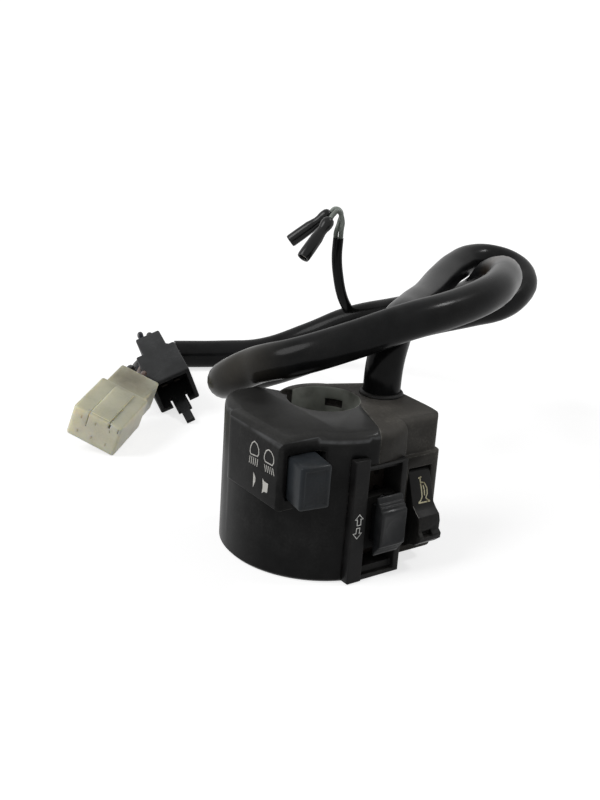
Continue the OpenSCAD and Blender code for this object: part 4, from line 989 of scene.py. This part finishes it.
bullet_r = 2.7
bullet_pin_r = 1.6
lead_bend = 2.5
bullet_lines = [((88.5, 120.5, 70.2), (73.5, 117, 56)), ((93, 126.5, 71.5), (79, 134.5, 58.5))]
branch_starts = [
    [(93.5, 119, 62), (93.5, 119, 65), (94.2, 119.8, 69.5), (92.6, 121, 73)],
    [(92.5, 121.2, 62), (92.5, 121.2, 64), (94.4, 122, 68), (96, 123.6, 72)],
]
branch_skin = wire_skin("branch_wire_skin", (0.17, 0.19, 0.17))
branch_pieces = []
for number, (line, start) in enumerate(zip(bullet_lines, branch_starts), 1):
    head, tail = Vector(line[0]), Vector(line[1])
    length = (tail - head).length
    pin_root = length - 9
    stand = Matrix.Translation(head) @ (tail - head).to_track_quat("Z", "Y").to_matrix().to_4x4()
    sleeve = turned(f"bullet_sleeve_{number}", [
        (0, 0), (1.5, 0), (2.1, 0.5), (2.55, 1.5), (2.65, 3.0), (2.45, 4.4), (2.15, 5.6), (2.1, 7.0),
        (2.3, 8.6), (2.6, 10.4), (bullet_r, length - 5), (bullet_r, length - 0.8), (2.5, length),
        (bullet_pin_r + 0.35, length), (bullet_pin_r + 0.1, length - 0.4), (bullet_pin_r + 0.05, pin_root),
        (0, pin_root),
    ], 28)
    smooth(place_by(sleeve, stand), 40)
    dress(sleeve, sleeve_finish, "housing", "rubber", "bullet_sleeves")
    pin = turned(f"bullet_pin_{number}", [
        (0, pin_root), (bullet_pin_r, pin_root), (bullet_pin_r, length - 3), (1.2, length - 2.4),
        (1.2, length - 1.8), (bullet_pin_r, length - 1.5), (1.1, length - 1.05), (0, length - 1),
    ], 24)
    smooth(place_by(pin, stand), 30)
    dress(pin, brass_finish, "housing", "brass", "bullet_terminals")
    back = head - (tail - head).normalized() * lead_bend
    lead = cord_curve(f"branch_wire_{number}", [*start, back, head], wire_d)
    dress(lead, branch_skin, "housing", "wire_pvc", "branch_wires")
    branch_pieces += [sleeve, pin, lead]

# %% [markdown]
# ## The connectors
#
# Both connectors are moulded boxes with a narrower rear. The white one has a raised latch arm on top between
# two grooves, and fine slits in its mating face; the black one has an open socket with a notch and a
# tongue below it. Each is modelled lying flat at the origin and then put in its place by its matrix.

# %% White connector
half_w = white_w / 2
step_y = white_l * 0.62
white_form = round_edges(block("white_connector_form", (-half_w, 0, 0), (half_w, step_y, white_t)), 0.9, 4)
rear = round_edges(
    block("rear", (-half_w + 1.6, step_y - 3, 0), (half_w - 1.6, white_l, white_t - 0.8)), 0.8, 3)
latch_outline = ((0.6, -1), (0.6, 0.3), (3, 0.7), (19, 0.7), (21.3, -0.1), (21.3, -1))
latch = round_edges(
    prism("latch", [(y, white_t + rise) for y, rise in latch_outline], "X", -3.1, 4.5), 0.3, 2)
cut(white_form, rear, latch, how="UNION")
groove_low = white_t - 0.7
for x in (-3.3, 4.7):
    cut(white_form, block("groove", (x - 0.18, -1, groove_low), (x + 0.18, 10, white_t + 1)))
cut(white_form, block("front_groove", (-3.48, -1, 6.8), (-3.12, 0.5, white_t + 1)),
    block("slot", (4.4, -1, 10.6), (5.3, 4, 12.2)), block("slot", (8.2, -1, 10.2), (8.55, 3, 11.9)))
cell_r = 1.6
for x in white_cells_x:
    for z in white_cells_z:
        slit = block("slit", (x - 0.1, -1, z - 0.6), (x + 0.1, 0.5, z + 0.6))
        cell_low = (x - cell_r, white_l - 8, z - cell_r)
        cell_high = (x + cell_r, white_l + 1, z + cell_r)
        cut(white_form, slit, block("cell", cell_low, cell_high))
smooth(place_by(white_form, white_place), 35)
dress(white_form, white_finish, "housing", "white_nylon", "white_connector")

# %% Black connector
wall = 1.6
half_b = black_w / 2
mouth_y = black_l * 0.645
socket = 14
black_form = round_edges(block("black_connector_form", (-half_b, 0, 0), (half_b, mouth_y, black_t)), 0.8, 4)
rear = round_edges(block("rear", (-5.1, mouth_y - 3, 2 * wall), (5.1, black_l, black_t)), 0.8, 4)
cut(black_form, rear, how="UNION")
cut(black_form, block("socket", (-half_b + wall, -1, wall), (half_b - wall, socket, black_t - wall)),
    block("notch", (-3, -1, -1), (4, 5, wall + 1)))
tongue = round_edges(block("tongue", (-2.3, -5, 0.2), (3.3, 6, wall)), 0.25, 2)
finger = round_edges(block("finger", (-1.2, -12, 0.2), (2.2, -4, wall)), 0.25, 2)
cut(black_form, tongue, finger, how="UNION")
cell_r = 1.8
for x in black_cells_x:
    cell_low = (x - cell_r, black_l - 6, black_t / 2 - cell_r)
    cell_high = (x + cell_r, black_l + 1, black_t / 2 + cell_r)
    cut(black_form, block("cell", cell_low, cell_high))
smooth(place_by(black_form, black_place), 35)
dress(black_form, connector_black, "housing", "black_nylon", "black_connector")

# %% [markdown]
# ## The CAD pieces that show as they are
#
# Screws, contacts and the switch's inner pieces are simple solids that are seen, at most, through a window
# or a cell. They keep their CAD shape and get finishes; the contacts in the black socket and the turn
# window get a near-black metal, which is painted shade.

# %% Finishes for the inner pieces
inner_finishes = {
    steel_finish: (
        "housing_screws", "dimmer_pivot_pin", "dimmer_detent_ball", "dimmer_detent_spring", "dimmer_screws",
        "turn_detent_ball", "turn_detent_spring", "turn_screws", "horn_pivot_pin", "horn_screws"),
    brass_finish: (
        "dimmer_moving_contact", "dimmer_fixed_contacts", "horn_moving_contact", "horn_fixed_contact",
        "white_terminals"),
    # These contacts get painted shade: near black, as they lie in the socket's and the window's shade.
    shaded_terminal_finish: ("black_terminals", "turn_moving_contact", "turn_fixed_contacts"),
    board_finish: ("dimmer_base", "turn_contact_board", "horn_base"),
    nylon_finish: ("dimmer_rocker", "cable_tie"),
    inner_black: ("turn_slider",),
}
for node, colour in (("dimmer_wire", (0.05, 0.12, 0.30)), ("turn_wire", (0.20, 0.22, 0.05)),
                     ("horn_wire", (0.18, 0.07, 0.03))):
    inner_finishes[wire_skin(f"{node}_skin", colour)] = (node,)
for finish, nodes in inner_finishes.items():
    for node in nodes:
        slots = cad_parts[node].data.materials
        slots.clear()
        slots.append(finish)
print("inner pieces finished")

# %% [markdown]
# ## The springs that give way
#
# Pushing the turn knob or the horn paddle shortens the coil springs behind it: the knob comes in by 1.8 mm
# of its springs' 4.8 mm and the paddle by 1.9 mm of its spring's 6.8 mm. Each spring here is a copy of its
# CAD coil with a mesh of its own, finished and attached to the body that it moves with.

# %% Springs
def soft_spring(node, body):
    """A copy of a CAD spring with its own mesh, finished and attached to a body."""
    spring = smooth(copy_of(node), 50)
    dress(spring, spring_finish, body, "steel", node)
    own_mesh(spring)


soft_spring("turn_cancel_springs", "turn_slide_carriage")
soft_spring("horn_return_spring", "housing")

# %% [markdown]
# ## The cords' ends
#
# Now the pieces on the cords' ends exist; each cord's length was printed where the cord was made.

# %% Cords
print("cords and their end pieces made")
